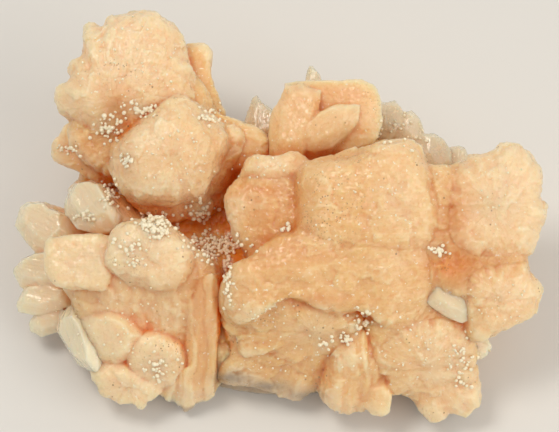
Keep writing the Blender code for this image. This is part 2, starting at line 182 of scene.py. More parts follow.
def scattered(cells: np.ndarray, seed: int) -> np.ndarray:
    """One steady random number from -1 to 1 for each whole-numbered cell.

    Args:
        cells: Whole numbers, with the cell's axes last if it has several.
        seed: Which set of random numbers.

    Returns:
        The numbers, without the axes of the cells.
    """
    axes = cells if cells.ndim > 1 else cells[:, None]
    mixed = axes @ np.array((127.1, 311.7, 74.7))[: axes.shape[1]] + seed * 53.3
    return (np.sin(mixed) * 43758.5453) % 1.0 * 2.0 - 1.0


def wandering(places: np.ndarray, size: float, seed: int) -> np.ndarray:
    """Smooth noise from -1 to 1 in space.

    Args:
        places: One place to a row.
        size: How far apart the hills of the noise are.
        seed: Which noise.

    Returns:
        One number for each place.
    """
    cell = np.floor(places / size)
    part = places / size - cell
    part = part * part * (3.0 - 2.0 * part)
    total = np.zeros(len(places))
    for corner in np.ndindex(2, 2, 2):
        nearness = np.prod(np.where(corner, part, 1.0 - part), axis=1)
        total += nearness * scattered(cell + corner, seed)
    return total


def plates(along: np.ndarray, seed: int, edge: float = 0.35) -> np.ndarray:
    """Level plates one unit wide, side by side at different heights.

    Args:
        along: How far each place lies across the plates.
        seed: Which set of heights.
        edge: The share of a plate's width that its sloping edge takes.

    Returns:
        A height from -1 to 1 for each place.
    """
    cell = np.floor(along)
    step = eased(along - cell, 1.0 - edge, 1.0)
    here = scattered(cell, seed)
    return here + (scattered(cell + 1.0, seed) - here) * step


def facets(places: np.ndarray, seed: int) -> np.ndarray:
    """Small flat faces, each at its own height and tilt, about one unit apart.

    Args:
        places: One place to a row.
        seed: Which faces.

    Returns:
        A height from about -1 to 1 for each place.
    """
    base = np.floor(places)
    nearest = np.full(len(places), np.inf)
    height = np.zeros(len(places))
    for corner in np.ndindex(3, 3, 3):
        cell = base + corner - 1.0
        jitter = np.column_stack([scattered(cell, seed + axis) for axis in (1, 2, 3)])
        offset = places - (cell + 0.5 + 0.4 * jitter)
        distance = np.einsum("ij,ij->i", offset, offset)
        tilt = np.column_stack([scattered(cell, seed + axis) for axis in (4, 5, 6)])
        level = 0.6 * scattered(cell, seed + 7) + 0.8 * np.einsum("ij,ij->i", offset, tilt)
        closer = distance < nearest
        nearest = np.where(closer, distance, nearest)
        height = np.where(closer, level, height)
    return height


@dataclass(frozen=True)
class View:
    """The viewer that the outlines are given for, who is also the camera.

    Attributes:
        elevation: How high above the horizon the viewer looks from, in radians.
        distance: How far the eye is from what it looks at.
        grid_step: The size of a step of the grid, at that distance.
        grid_middle: The place on the grid that the eye looks at.
        target: The place in space that it looks at.
        columns: How many columns the picture has.
        sensor: The camera's sensor width.
    """

    elevation: float = math.radians(65)
    distance: float = 475.0
    grid_step: float = 120.0 / 530.0
    grid_middle: Place = (279.5, 216.0)
    target: Direction = (0.8, 0.9, 22.0)
    columns: int = 559
    sensor: float = 36.0

    @property
    def up(self) -> Vector:
        """The direction that is up for the viewer."""
        return Vector((0.0, math.sin(self.elevation), math.cos(self.elevation)))

    @property
    def toward(self) -> Vector:
        """The direction from the cluster to the viewer."""
        return Vector((0.0, -math.cos(self.elevation), math.sin(self.elevation)))

    @property
    def eye(self) -> Vector:
        """Where the viewer's eye is."""
        return Vector(self.target) + self.toward * self.distance

    def facing(self, right: float, up: float, toward: float) -> Vector:
        """A direction in space.

        Args:
            right: Its share to the viewer's right.
            up: Its share upward in the view.
            toward: Its share toward the viewer.

        Returns:
            The direction, one unit long.
        """
        return (Vector((right, 0.0, 0.0)) + self.up * up + self.toward * toward).normalized()

    def seen(self, column: float, row: float) -> Vector:
        """The place on the target's plane that shows at a place on the grid."""
        right = (column - self.grid_middle[0]) * self.grid_step
        up = (self.grid_middle[1] - row) * self.grid_step
        return Vector(self.target) + Vector((right, 0.0, 0.0)) + self.up * up

    def on_plane(self, column: float, row: float, point: Vector, normal: Vector) -> Vector:
        """Where a line of sight meets a plane.

        Args:
            column: Column of the grid.
            row: Row of the grid.
            point: A point of the plane.
            normal: The plane's normal.

        Returns:
            The meeting point.
        """
        return intersect_line_plane(self.eye, self.seen(column, row), point, normal)


VIEW = View()


class Habit(Enum):
    """The form of a crystal: its crown, its back and how even its faces are."""

    DOMED = "domed"
    BROAD = "broad"
    FLAT = "flat"
    BLADE = "blade"

    @property
    def widths(self) -> tuple[float, ...]:
        """The widths of the crown's rings as shares of the rim's width."""
        return {
            Habit.DOMED: (0.99, 0.96, 0.91, 0.84, 0.76, 0.66, 0.55, 0.42, 0.28, 0.14),
            Habit.BROAD: (0.99, 0.97, 0.93, 0.88, 0.81, 0.72, 0.6, 0.45, 0.25),
            Habit.FLAT: (0.99, 0.97, 0.94, 0.9, 0.84, 0.7, 0.4),
            Habit.BLADE: (0.96, 0.62, 0.3),
        }[self]

    @property
    def lumpiness(self) -> float:
        """How uneven the faces are, from 0 for smooth to 1."""
        return {Habit.DOMED: 1.0, Habit.BROAD: 1.0, Habit.FLAT: 0.7, Habit.BLADE: 0.3}[self]

    @property
    def shift(self) -> float:
        """How far the crown is shifted to one side, as a share of the rim's least reach."""
        return 0.8 if self is Habit.BLADE else 0.0

    @property
    def root_share(self) -> float:
        """How far out its root lies, as a share of the way from the cluster's middle to its own."""
        return 0.35 if self is Habit.BLADE else 0.62

    @property
    def back(self) -> tuple[Place, ...]:
        """Rings from the rim to the root: share of the way, share of the width."""
        if self is Habit.BLADE:
            return ((0.06, 0.97), (0.12, 0.93), (1.0, 0.75))
        return ((0.05, 0.96), (0.12, 0.93), (0.24, 0.97), (0.5, 0.86), (1.0, 0.66))

    def rise(self, width: float) -> float:
        """How high a ring of the crown is.

        Args:
            width: The ring's width as a share of the rim's.

        Returns:
            The height as a share of the whole rise.
        """
        if self is Habit.BLADE:
            return min(1.0, (1.0 - width) / 0.38)
        power = {Habit.DOMED: 3.5, Habit.BROAD: 5.5, Habit.FLAT: 11.0}[self]
        return math.sqrt(1.0 - width**power)


class Growth(Enum):
    """How the thin crystals of a head lie: fanned out from a place, or stacked along a direction."""

    FAN = "fan"
    STACK = "stack"


@dataclass(frozen=True)
class Grain:
    """The thin parallel crystals that a head is made of, seen as ridges on its surface.

    Attributes:
        growth: How the crystals lie.
        centre: Where a fan spreads from, on the grid.
        angle: The direction that a stack is stacked in, in degrees from the viewer's right.
        pitch: How far apart the ridges are.
        depth: How high the ridges are.
    """

    growth: Growth
    centre: Place = (0.0, 0.0)
    angle: float = 90.0
    pitch: float = 1.6
    depth: float = 0.15


def fan(column: float, row: float, pitch: float = 1.8, depth: float = 0.16) -> Grain:
    """Crystals fanned out from a place on the grid."""
    return Grain(Growth.FAN, (column, row), 0.0, pitch, depth)


def stack(angle: float, pitch: float = 1.4, depth: float = 0.1) -> Grain:
    """Crystals stacked along a direction."""
    return Grain(Growth.STACK, (0.0, 0.0), angle, pitch, depth)


def drawn_round(rim: list[Vector], parts: int) -> list[Vector]:
    """A rim with round stretches between its points.

    Args:
        rim: The corners of the rim.
        parts: How many parts each stretch gets.

    Returns:
        The finer rim, which passes through the same corners.
    """
    finer = []
    for index, start in enumerate(rim):
        before = rim[index - 1]
        end = rim[(index + 1) % len(rim)]
        after = rim[(index + 2) % len(rim)]
        for step in range(parts):
            t = step / parts
            finer.append(0.5 * (
                2 * start
                + (end - before) * t
                + (2 * before - 5 * start + 4 * end - after) * t * t
                + (3 * start - before - 3 * end + after) * t * t * t
            ))
    return finer


def evened(rim: list[Vector], times: int) -> list[Vector]:
    """A rim with its notches and tips evened out.

    Args:
        rim: The points of the rim.
        times: How often each point is drawn to the middle of its neighbours.

    Returns:
        The evened rim.
    """
    for _ in range(times):
        before = rim[-1:] + rim[:-1]
        after = rim[1:] + rim[:1]
        rim = [here * 0.4 + (left + right) * 0.3 for left, here, right in zip(before, rim, after)]
    return rim


def add_rings(mesh: bmesh.types.BMesh, rings: list[list[Vector]], mark: int) -> list[bmesh.types.BMVert]:
    """A closed body through rings of points.

    Args:
        mesh: The mesh that gets the body.
        rings: The rings from the body's root to its crown, all with as many points.
        mark: The number that its faces carry.

    Returns:
        The body's vertices.
    """
    layer = mesh.faces.layers.int.get(CRYSTAL_LAYER) or mesh.faces.layers.int.new(CRYSTAL_LAYER)
    corners = [mesh.verts.new(place * MM) for place in rings[0]]
    face = mesh.faces.new(corners)
    face[layer] = mark
    made = list(corners)
    for index, ring in enumerate(rings[1:]):
        grown = bmesh.ops.extrude_face_region(mesh, geom=[face])["geom"]
        if index:
            bmesh.ops.delete(mesh, geom=[face], context="FACES_ONLY")
        face = next(item for item in grown if isinstance(item, bmesh.types.BMFace))
        for corner, place in zip(face.verts, ring):
            corner.co = place * MM
        made += list(face.verts)
        for side in {side for corner in face.verts for side in corner.link_faces}:
            side[layer] = mark
    return made


@dataclass(frozen=True)
class Crystal:
    """A crystal, or a head of thin crystals that grew side by side.

    Attributes:
        height: Height of its rim's middle above the surface that the cluster rests on.
        face: What it faces: right, up in the view, toward the viewer.
        rise: How far its crown stands out from its rim.
        sink: How far back its root lies, as a share of the way to where it grew from.
        habit: The form of its crown.
        grain: The thin crystals that show on it.
        outline: Its rim on the grid.
        pale: How pale it is, from 0 for peach to 1 for nearly white.
    """

    height: float
    face: Direction
    rise: float
    sink: float
    habit: Habit
    grain: Grain
    outline: tuple[Place, ...]
    pale: float = 0.0

    @property
    def normal(self) -> Vector:
        """The direction that the crystal faces."""
        return VIEW.facing(*self.face)

    @property
    def middle(self) -> Vector:
        """The middle of its rim."""
        column = sum(place[0] for place in self.outline) / len(self.outline)
        row = sum(place[1] for place in self.outline) / len(self.outline)
        return VIEW.on_plane(column, row, UPWARD * self.height, UPWARD)

    def rim(self) -> list[Vector]:
        """The rim's points around its middle."""
        middle = self.middle
        corners = [VIEW.on_plane(*place, middle, self.normal) - middle for place in self.outline]
        return corners if self.habit is Habit.BLADE else drawn_round(corners, RIM_PARTS)

    def add_to(self, mesh: bmesh.types.BMesh, mark: int) -> None:
        """Adds the crystal's closed body.

        Args:
            mesh: The mesh of the group that it belongs to.
            mark: The number that its faces carry.
        """
        middle = self.middle
        rim = self.rim()
        inner = rim if self.habit is Habit.BLADE else evened(rim, EVENING_TIMES)
        origin = Vector((middle.x * self.habit.root_share, middle.y * self.habit.root_share, ROOT_HEIGHT))
        back = (origin - middle) * self.sink
        rings = [[middle + back * share + offset * width for offset in rim]
                 for share, width in reversed(self.habit.back)]
        rings.append([middle + offset for offset in rim])
        slant = self.slant()
        for width in self.habit.widths:
            lift = self.normal * self.rise * self.habit.rise(width) + slant * (1.0 - width)
            even = min(1.0, (1.0 - width) * 4.0)
            rings.append([middle + lift + outer.lerp(round_one, even) * width
                          for outer, round_one in zip(rim, inner)])
        add_rings(mesh, rings, mark)

    def slant(self) -> Vector:
        """How far a blade's crown is shifted to one side, which gives it one broad face."""
        if self.habit is not Habit.BLADE:
            return Vector()
        right, up = self.axes()
        angle = math.radians(self.grain.angle)
        reach = min(offset.length for offset in self.rim())
        return (right * math.cos(angle) + up * math.sin(angle)) * reach * self.habit.shift

    def axes(self) -> tuple[Vector, Vector]:
        """The directions in its rim's plane that are right and up for the viewer."""
        right = (Vector((1.0, 0.0, 0.0)) - self.normal * self.normal.x).normalized()
        return right, self.normal.cross(right)

    def relief(self, places: np.ndarray, seed: int) -> tuple[np.ndarray, np.ndarray]:
        """The ridges and grooves of the crystal's surface.

        Args:
            places: Places on its surface, one to a row.
            seed: Which random plates.

        Returns:
            How far each place stands out, and where it lies across the grain, along it and above it.
        """
        middle = self.middle
        right, up = self.axes()
        from_middle = places - np.array(middle)
        above = from_middle @ np.array(self.normal)
        drift = sum(wandering(places, layer.size, seed + layer.seed) * layer.height for layer in DRIFTS)
        if self.grain.growth is Growth.STACK:
            angle = math.radians(self.grain.angle)
            across = right * math.cos(angle) + up * math.sin(angle)
            along = up * math.cos(angle) - right * math.sin(angle)
            off = from_middle @ np.array(across)
            rows = off / self.grain.pitch + drift
            stands = plates(rows, seed, 0.45) * self.grain.depth * PLATE_STEP
            return stands, np.column_stack((off, from_middle @ np.array(along), above))
        centre = VIEW.on_plane(*self.grain.centre, middle, self.normal)
        from_centre = places - np.array(centre)
        turn = np.arctan2(from_centre @ np.array(up), from_centre @ np.array(right))
        reach = np.hypot(from_centre @ np.array(up), from_centre @ np.array(right))
        lobes, edge = self.lobes(centre - middle, turn)
        outward = eased(reach / edge, 0.35, 1.0)
        rows = turn * float(np.median(edge)) / self.grain.pitch + drift
        stands = plates(rows, seed, 0.7) * self.grain.depth * PLATE_STEP * outward
        stands += lobes * LOBE_HEIGHT * outward
        return stands, np.column_stack((turn * float(np.median(edge)), reach, above))

    def lobes(self, centre: Vector, turn: np.ndarray) -> tuple[np.ndarray, np.ndarray]:
        """How the rim bulges and dips round a fan's centre.

        Args:
            centre: The fan's centre from the rim's middle.
            turn: Angles round the centre.

        Returns:
            How far the rim stands out at each angle from its evened form, and its distance there.
        """
        right, up = self.axes()
        offsets = [point - centre for point in self.rim()]
        corners = sorted((math.atan2(offset.dot(up), offset.dot(right)), offset.length) for offset in offsets)
        angles = np.array([corner[0] for corner in corners])
        reaches = np.array([corner[1] for corner in corners])
        directions = 180
        ring = np.linspace(-math.pi, math.pi, directions, endpoint=False)
        outer = np.interp(ring, angles, reaches, period=FULL_TURN)
        shifts = np.arange(-24, 25)
        weights = np.exp(-0.5 * (shifts / 9.0) ** 2)
        even = sum(np.roll(outer, shift) * weight for shift, weight in zip(shifts, weights)) / weights.sum()
        stands = np.interp(turn, ring, outer - even, period=FULL_TURN)
        return np.clip(stands, *LOBE_LIMITS), np.interp(turn, ring, even, period=FULL_TURN)


class Enclosure:
    """How far the cluster closes in on a place: low on a crest, high in a deep gap."""

    cell = 1.0
    margin = 14
    ray_gap = 1e-5
    near_spread = 1.6
    far_spread = 4.5

    def __init__(self, tree: BVHTree, low: Vector, high: Vector) -> None:
        """Fills a grid of cells with the cluster and blurs it.

        Args:
            tree: The bodies of the cluster.
            low: The lowest corner of the cluster.
            high: The highest corner.
        """
        span = (high - low) / self.cell
        self.low = np.array(low) - self.margin * self.cell
        shape = [math.ceil(length) + 2 * self.margin for length in span]
        filled = np.zeros(shape)
        for column in range(shape[0]):
            for row in range(shape[1]):
                self.fill_column(tree, filled, column, row)
        self.near = self.blurred(filled, self.near_spread)
        self.far = self.blurred(filled, self.far_spread)

    def fill_column(self, tree: BVHTree, filled: np.ndarray, column: int, row: int) -> None:
        """Fills the cells of one upright column that lie inside the bodies.

        Args:
            tree: The bodies of the cluster.
            filled: The grid of cells.
            column: The column's number along X.
            row: Its number along Y.
        """
        start = self.low + (np.array((column, row, 0.0)) + (0.5, 0.5, 0.0)) * self.cell
        place = Vector(start) * MM
        inside = 0
        entered = 0.0
        while True:
            hit, normal, _, _ = tree.ray_cast(place, UPWARD)
            if hit is None:
                return
            height = (hit.z / MM - self.low[2]) / self.cell
            if normal.z < 0.0:
                if inside == 0:
                    entered = height
                inside += 1
            else:
                inside -= 1
                if inside <= 0:
                    filled[column, row, int(entered):int(height) + 1] = 1.0
                    inside = 0
            place = hit + UPWARD * self.ray_gap

    def blurred(self, filled: np.ndarray, spread: float) -> np.ndarray:
        """The grid's filling evened out over a distance.

        Args:
            filled: The grid of cells.
            spread: The distance.

        Returns:
            The blurred grid.
        """
        reach = min(self.margin, math.ceil(2.5 * spread))
        shifts = range(-reach, reach + 1)
        weights = [math.exp(-0.5 * (shift / spread) ** 2) for shift in shifts]
        for axis in range(3):
            filled = sum(np.roll(filled, shift, axis) * weight for shift, weight in zip(shifts, weights))
            filled = filled / sum(weights)
        return filled

    def at(self, places: np.ndarray, grid: np.ndarray) -> np.ndarray:
        """A grid's value at places in space.

        Args:
            places: One place to a row.
            grid: The blurred grid to read.

        Returns:
            One value for each place.
        """
        spot = (places - self.low) / self.cell - 0.5
        spot = np.clip(spot, 0.0, np.array(grid.shape) - 2.001)
        cell = spot.astype(int)
        part = spot - cell
        total = np.zeros(len(places))
        for corner in np.ndindex(2, 2, 2):
            nearness = np.prod(np.where(corner, part, 1.0 - part), axis=1)
            x, y, z = (cell + corner).T
            total += nearness * grid[x, y, z]
        return total


# Cream flecks, partly the crystal's own and partly painted glints
FLECK_AND_GLINT = linear(255, 244, 224)
SPECK = linear(134, 92, 52)
CRUST = linear(168, 152, 134)

# How many forms of each pattern lie along a metre
BROAD_SCALE = 90.0
FINE_SCALE = 900.0
FLECK_GLINT_SCALE = 1300.0
SUGAR_SCALE = 2600.0
FACE_SCALE = 1400.0
SPECK_SCALE = 1500.0
LONE_SPECK_SCALE = 700.0
# How the lines and folds are stretched along the grain, which is in millimetres
LINE_STRETCH = (1.6, 0.12, 0.5)
FOLD_STRETCH = (0.5, 0.06, 0.2)


@dataclass(frozen=True)
class StilbiteFinish:
    """Milky crystal that light sinks into, with painted orange shade in the gaps, a painted glow beside them
    and painted light at the thin ends and crests.

    Attributes:
        name: The material's name.
        body: Colour of the mass.
        light: Colour of the palest places, and of the painted light on crests, thin ends and lit spots.
        deep: Colour of the painted shade in the gaps.
        painted_glow: Colour of the painted glow and shade beside the gaps, also used in the mottling.
        clear: How much of the light goes straight through, from 0 to 1.
        roughness: Roughness of the faces.
        scatter: How far light spreads under the surface, in metres.
        spread: How far red, green and blue light spread, as shares of that.
        specks: How strongly the dark specks show.
        mottling: How mottled the colour is.
        glints: How far the smallest crystal faces tilt, as a slope.
        gloss: How much of the light the smooth faces mirror.
    """

    name: str
    body: Colour = linear(238, 195, 136)
    light: Colour = linear(248, 220, 180)
    deep: Colour = linear(246, 138, 34)
    painted_glow: Colour = linear(222, 142, 66)
    clear: float = 0.0
    roughness: float = 0.36
    scatter: float = 0.005
    spread: Direction = (1.0, 0.8, 0.6)
    specks: float = 0.7
    mottling: float = 1.0
    glints: float = 0.35
    gloss: float = 0.35

    def material(self) -> bpy.types.Material:
        """Builds the material.

        Returns:
            The new material.
        """
        sheet = NodeSheet(self.name)
        grain = sheet.attribute("grain", "Vector")
        place = sheet.place()
        broad = sheet.noise(place, BROAD_SCALE, 3.0)
        fine = sheet.noise(place, FINE_SCALE, 4.0)
        lines = sheet.noise(sheet.stretched(grain, LINE_STRETCH), 1.0, 3.0)
        folds = sheet.noise(sheet.stretched(grain, FOLD_STRETCH), 1.0, 2.0)
        flecks_and_glints = sheet.noise(place, FLECK_GLINT_SCALE, 2.0)
        sugar = sheet.noise(place, SUGAR_SCALE, 2.0)

        # The crystal's own paleness, with painted light on lit spots and crests added to it
        tone = sheet.mixed(self.body, self.light, sheet.attribute("pale"))
        for pattern, low, high, share in (
                (broad, 0.45, 0.75, 0.35), (lines, 0.5, 0.8, 0.3), (fine, 0.56, 0.7, 0.3)):
            shown = sheet.scaled(sheet.ramped(pattern, low, high), share * self.mottling)
            tone = sheet.mixed(tone, self.light, shown)
        # Cream flecks that are partly painted glints
        tone = sheet.mixed(tone, FLECK_AND_GLINT, sheet.ramped(flecks_and_glints, 0.675, 0.705))
        for pattern, low, high, share in ((sugar, 0.56, 0.72, 0.2), (folds, 0.48, 0.7, 0.1)):
            shown = sheet.scaled(sheet.ramped(pattern, low, high), share * self.mottling)
            tone = sheet.mixed(tone, self.painted_glow, shown)
        # Painted rim light: paler where the surface stands free, at thin ends and edges
        tone = sheet.mixed(tone, self.light, sheet.scaled(sheet.attribute("edge"), 0.7))
        # Painted glow and shade beside the gaps, along the seams and in enclosed places
        tone = sheet.mixed(tone, self.painted_glow, sheet.attribute("painted_glow"))
        # Painted shade: deep orange where the cluster closes in, standing in for the shade in the gaps
        tone = sheet.mixed(tone, self.deep, sheet.attribute("depth"))
        tone = sheet.mixed(tone, SPECK, self.speck_mask(sheet, place))
        tone = sheet.mixed(tone, CRUST, sheet.scaled(sheet.attribute("crust"), 0.85))
        sheet.link(tone, sheet.shader.inputs["Base Color"])

        self.set_plain_sockets(sheet.shader.inputs)
        rough = sheet.ranged(fine, 0.3, 0.7, self.roughness - 0.12, self.roughness + 0.16)
        sheet.link(rough, sheet.shader.inputs["Roughness"])
        relief = sheet.tilts(place, FACE_SCALE, self.glints)
        for pattern, height in ((fine, 0.0001), (lines, 0.00015), (folds, 0.00015)):
            relief = sheet.summed(relief, sheet.scaled(pattern, height))
        sheet.bump(relief)
        return sheet.material

    def set_plain_sockets(self, sockets: bpy.types.NodeInputs) -> None:
        """Sets what is the same all over the surface."""
        sockets["Subsurface Weight"].default_value = 1.0 - self.clear if self.scatter else 0.0
        sockets["Subsurface Radius"].default_value = self.spread
        sockets["Subsurface Scale"].default_value = self.scatter
        sockets["Transmission Weight"].default_value = self.clear
        sockets["IOR"].default_value = 1.5
        sockets["Coat Weight"].default_value = self.gloss
        sockets["Coat Roughness"].default_value = 0.15

    def speck_mask(self, sheet: "NodeSheet", place: bpy.types.NodeSocket) -> bpy.types.NodeSocket:
        """Where the tiny dark specks are.

        Args:
            sheet: The material's nodes.
            place: The place in space.

        Returns:
            A socket that is 1 on a speck.
        """
        dot = sheet.ranged(sheet.cells(place, SPECK_SCALE), 0.2, 0.32, 1.0, 0.0)
        patch = sheet.ramped(sheet.noise(place, 420.0, 3.0), 0.46, 0.54)
        stain = sheet.product(sheet.product(dot, patch), sheet.attribute("stain"))
        few = sheet.ramped(sheet.noise(place, 160.0, 2.0), 0.6, 0.66)
        lone = sheet.ranged(sheet.cells(place, LONE_SPECK_SCALE), 0.12, 0.2, 1.0, 0.0)
        tiny = sheet.product(lone, few)
        return sheet.scaled(sheet.arithmetic("MAXIMUM", stain, tiny), self.specks)


class NodeSheet:
    """A material's nodes, made and linked one after the other."""

    def __init__(self, name: str) -> None:
        """Starts a material with its one shader.

        Args:
            name: The material's name.
        """
        self.material = bpy.data.materials.new(name)
        self.material.use_nodes = True
        self.nodes = self.material.node_tree.nodes
        self.shader = self.nodes["Principled BSDF"]

    def link(self, source: bpy.types.NodeSocket, target: bpy.types.NodeSocket) -> None:
        """Links two sockets."""
        self.material.node_tree.links.new(source, target)

    def attribute(self, name: str, output: str = "Fac") -> bpy.types.NodeSocket:
        """Reads a value that the mesh carries."""
        node = self.nodes.new("ShaderNodeAttribute")
        node.attribute_name = name
        return node.outputs[output]

    def place(self) -> bpy.types.NodeSocket:
        """The place in space, on the piece's own coordinates in metres."""
        return self.nodes.new("ShaderNodeTexCoord").outputs["Object"]

    def stretched(self, vector: bpy.types.NodeSocket, scale: Direction) -> bpy.types.NodeSocket:
        """A pattern's coordinates, scaled on each axis."""
        node = self.nodes.new("ShaderNodeMapping")
        node.inputs["Scale"].default_value = scale
        self.link(vector, node.inputs["Vector"])
        return node.outputs["Vector"]

    def noise(self, vector: bpy.types.NodeSocket, scale: float, detail: float) -> bpy.types.NodeSocket:
        """Soft noise from 0 to 1."""
        node = self.nodes.new("ShaderNodeTexNoise")
        node.inputs["Scale"].default_value = scale
        node.inputs["Detail"].default_value = detail
        self.link(vector, node.inputs["Vector"])
        return node.outputs["Fac"]

    def cells(self, vector: bpy.types.NodeSocket, scale: float) -> bpy.types.NodeSocket:
        """The distance to the nearest of many scattered points."""
        node = self.nodes.new("ShaderNodeTexVoronoi")
        node.inputs["Scale"].default_value = scale
        self.link(vector, node.inputs["Vector"])
        return node.outputs["Distance"]

    def tilts(self, vector: bpy.types.NodeSocket, scale: float, slope: float) -> bpy.types.NodeSocket:
        """The height of many small flat faces that each tilt their own way.

        Args:
            vector: The place in space.
            scale: How many faces there are along a metre.
            slope: How far they tilt.

        Returns:
            The height in metres.
        """
        cells = self.nodes.new("ShaderNodeTexVoronoi")
        cells.inputs["Scale"].default_value = scale
        self.link(vector, cells.inputs["Vector"])
        offset = self.vectors("SUBTRACT", vector, cells.outputs["Position"]).outputs["Vector"]
        centred = self.vectors("SUBTRACT", cells.outputs["Color"], (0.5, 0.5, 0.5)).outputs["Vector"]
        return self.scaled(self.vectors("DOT_PRODUCT", offset, centred).outputs["Value"], slope)

    def vectors(
        self, operation: str, first: bpy.types.NodeSocket, second: bpy.types.NodeSocket | Direction
    ) -> bpy.types.Node:
        """The node that works out one sum with vectors.

        Args:
            operation: What is done.
            first: The first vector.
            second: The second vector, or its three numbers.

        Returns:
            The node.
        """
        node = self.nodes.new("ShaderNodeVectorMath")
        node.operation = operation
        self.link(first, node.inputs[0])
        if isinstance(second, tuple):
            node.inputs[1].default_value = second
        else:
            self.link(second, node.inputs[1])
        return node

    def ranged(
        self, value: bpy.types.NodeSocket, low: float, high: float, start: float, end: float
    ) -> bpy.types.NodeSocket:
        """Moves a value from one range into another, and keeps it there.

        Args:
            value: The value.
            low: Where its range starts.
            high: Where its range ends.
            start: What the low end becomes.
            end: What the high end becomes.

        Returns:
            The new value.
        """
        node = self.nodes.new("ShaderNodeMapRange")
        for name, number in zip(("From Min", "From Max", "To Min", "To Max"), (low, high, start, end)):
            node.inputs[name].default_value = number
        self.link(value, node.inputs["Value"])
        return node.outputs["Result"]

    def ramped(self, value: bpy.types.NodeSocket, low: float, high: float) -> bpy.types.NodeSocket:
        """A value's range moved to run from 0 to 1."""
        return self.ranged(value, low, high, 0.0, 1.0)

    def arithmetic(
        self, operation: str, first: bpy.types.NodeSocket, second: bpy.types.NodeSocket | float
    ) -> bpy.types.NodeSocket:
        """The outcome of one sum.

        Args:
            operation: What is done.
            first: The first value.
            second: The second value, or a number.

        Returns:
            The outcome.
        """
        node = self.nodes.new("ShaderNodeMath")
        node.operation = operation
        self.link(first, node.inputs[0])
        if isinstance(second, float):
            node.inputs[1].default_value = second
        else:
            self.link(second, node.inputs[1])
        return node.outputs["Value"]

    def scaled(self, value: bpy.types.NodeSocket, factor: float) -> bpy.types.NodeSocket:
        """A value times a number."""
        return self.arithmetic("MULTIPLY", value, float(factor))

    def product(self, first: bpy.types.NodeSocket, second: bpy.types.NodeSocket) -> bpy.types.NodeSocket:
        """Two values multiplied."""
        return self.arithmetic("MULTIPLY", first, second)

    def summed(self, first: bpy.types.NodeSocket, second: bpy.types.NodeSocket) -> bpy.types.NodeSocket:
        """Two values added."""
        return self.arithmetic("ADD", first, second)

    def mixed(
        self, first: bpy.types.NodeSocket | Colour, second: bpy.types.NodeSocket | Colour,
        share: bpy.types.NodeSocket,
    ) -> bpy.types.NodeSocket:
        """A mixture of two colours.

        Args:
            first: The colour where the share is 0.
            second: The colour where it is 1.
            share: The second colour's share.

        Returns:
            The mixture.
        """
        node = self.nodes.new("ShaderNodeMix")
        node.data_type = "RGBA"
        self.link(share, node.inputs["Factor"])
        for socket, colour in ((node.inputs[6], first), (node.inputs[7], second)):
            if isinstance(colour, tuple):
                socket.default_value = colour
            else:
                self.link(colour, socket)
        return node.outputs[2]

    def bump(self, height: bpy.types.NodeSocket) -> None:
        """Gives the surface and its gloss a fine relief of a height in metres."""
        node = self.nodes.new("ShaderNodeBump")
        node.inputs["Strength"].default_value = 1.0
        node.inputs["Distance"].default_value = 1.0
        self.link(height, node.inputs["Height"])
        self.link(node.outputs["Normal"], self.shader.inputs["Normal"])
        self.link(node.outputs["Normal"], self.shader.inputs["Coat Normal"])


PEACH = StilbiteFinish("stilbite_peach")
PEARLY = StilbiteFinish(
    "stilbite_pearl", linear(250, 218, 180), linear(255, 236, 206), linear(248, 188, 120),
    linear(236, 186, 132), clear=0.1, roughness=0.14, scatter=0.003, specks=0.1, mottling=0.7,
    glints=0.05, gloss=0.6)
CLEAR = StilbiteFinish(
    "stilbite_clear", linear(240, 220, 186), linear(250, 238, 214), linear(224, 172, 112),
    linear(224, 172, 112), clear=0.25, roughness=0.2, scatter=0.002, spread=(1.0, 0.85, 0.7), specks=0.2,
    mottling=0.6, glints=0.05, gloss=0.4)
BEAD = StilbiteFinish(
    "stilbite_beads", linear(255, 242, 208), linear(255, 252, 234), linear(250, 190, 120),
    linear(236, 180, 120), roughness=0.3, scatter=0.0, specks=0.0, mottling=0.3)


def mesh_object(name: str, mesh: bmesh.types.BMesh) -> bpy.types.Object:
    """A new object of a bmesh.

    Args:
        name: The object's name.
        mesh: Its mesh, which stays as it is.

    Returns:
        The object, linked to the scene.
    """
    data = bpy.data.meshes.new(name)
    mesh.to_mesh(data)
    made = bpy.data.objects.new(name, data)
    bpy.context.scene.collection.objects.link(made)
    return made


def one_skin(piece: bpy.types.Object, cell: float) -> None:
    """Makes the bodies of a piece one closed skin of small even faces.

    Args:
        piece: The piece.
        cell: The size of the faces, in millimetres.
    """
    remesh = piece.modifiers.new("one skin", "REMESH")
    remesh.mode = "VOXEL"
    remesh.voxel_size = cell * MM
    remesh.adaptivity = 0.0
    ready = piece.evaluated_get(bpy.context.evaluated_depsgraph_get())
    skin = bpy.data.meshes.new_from_object(ready)
    piece.modifiers.clear()
    old = piece.data
    piece.data = skin
    bpy.data.meshes.remove(old)


def numbers(mesh: bpy.types.Mesh, what: str) -> np.ndarray:
    """The places or the normals of a mesh's vertices, one to a row."""
    found = np.empty(len(mesh.vertices) * 3, dtype=np.float32)
    mesh.vertices.foreach_get(what, found)
    return found.reshape(-1, 3).astype(float)


def move_to(mesh: bpy.types.Mesh, places: np.ndarray) -> None:
    """Moves a mesh's vertices to places in millimetres."""
    mesh.vertices.foreach_set("co", (places * MM).astype(np.float32).ravel())
    mesh.update()


def carry(mesh: bpy.types.Mesh, name: str, values: np.ndarray) -> None:
    """Stores a value or a vector for each vertex.

    Args:
        mesh: The mesh.
        name: The attribute's name.
        values: One number or one row for each vertex.
    """
    if values.ndim == 1:
        mesh.attributes.new(name, "FLOAT", "POINT").data.foreach_set("value", values.astype(np.float32))
    else:
        layer = mesh.attributes.new(name, "FLOAT_VECTOR", "POINT")
        layer.data.foreach_set("vector", values.astype(np.float32).ravel())


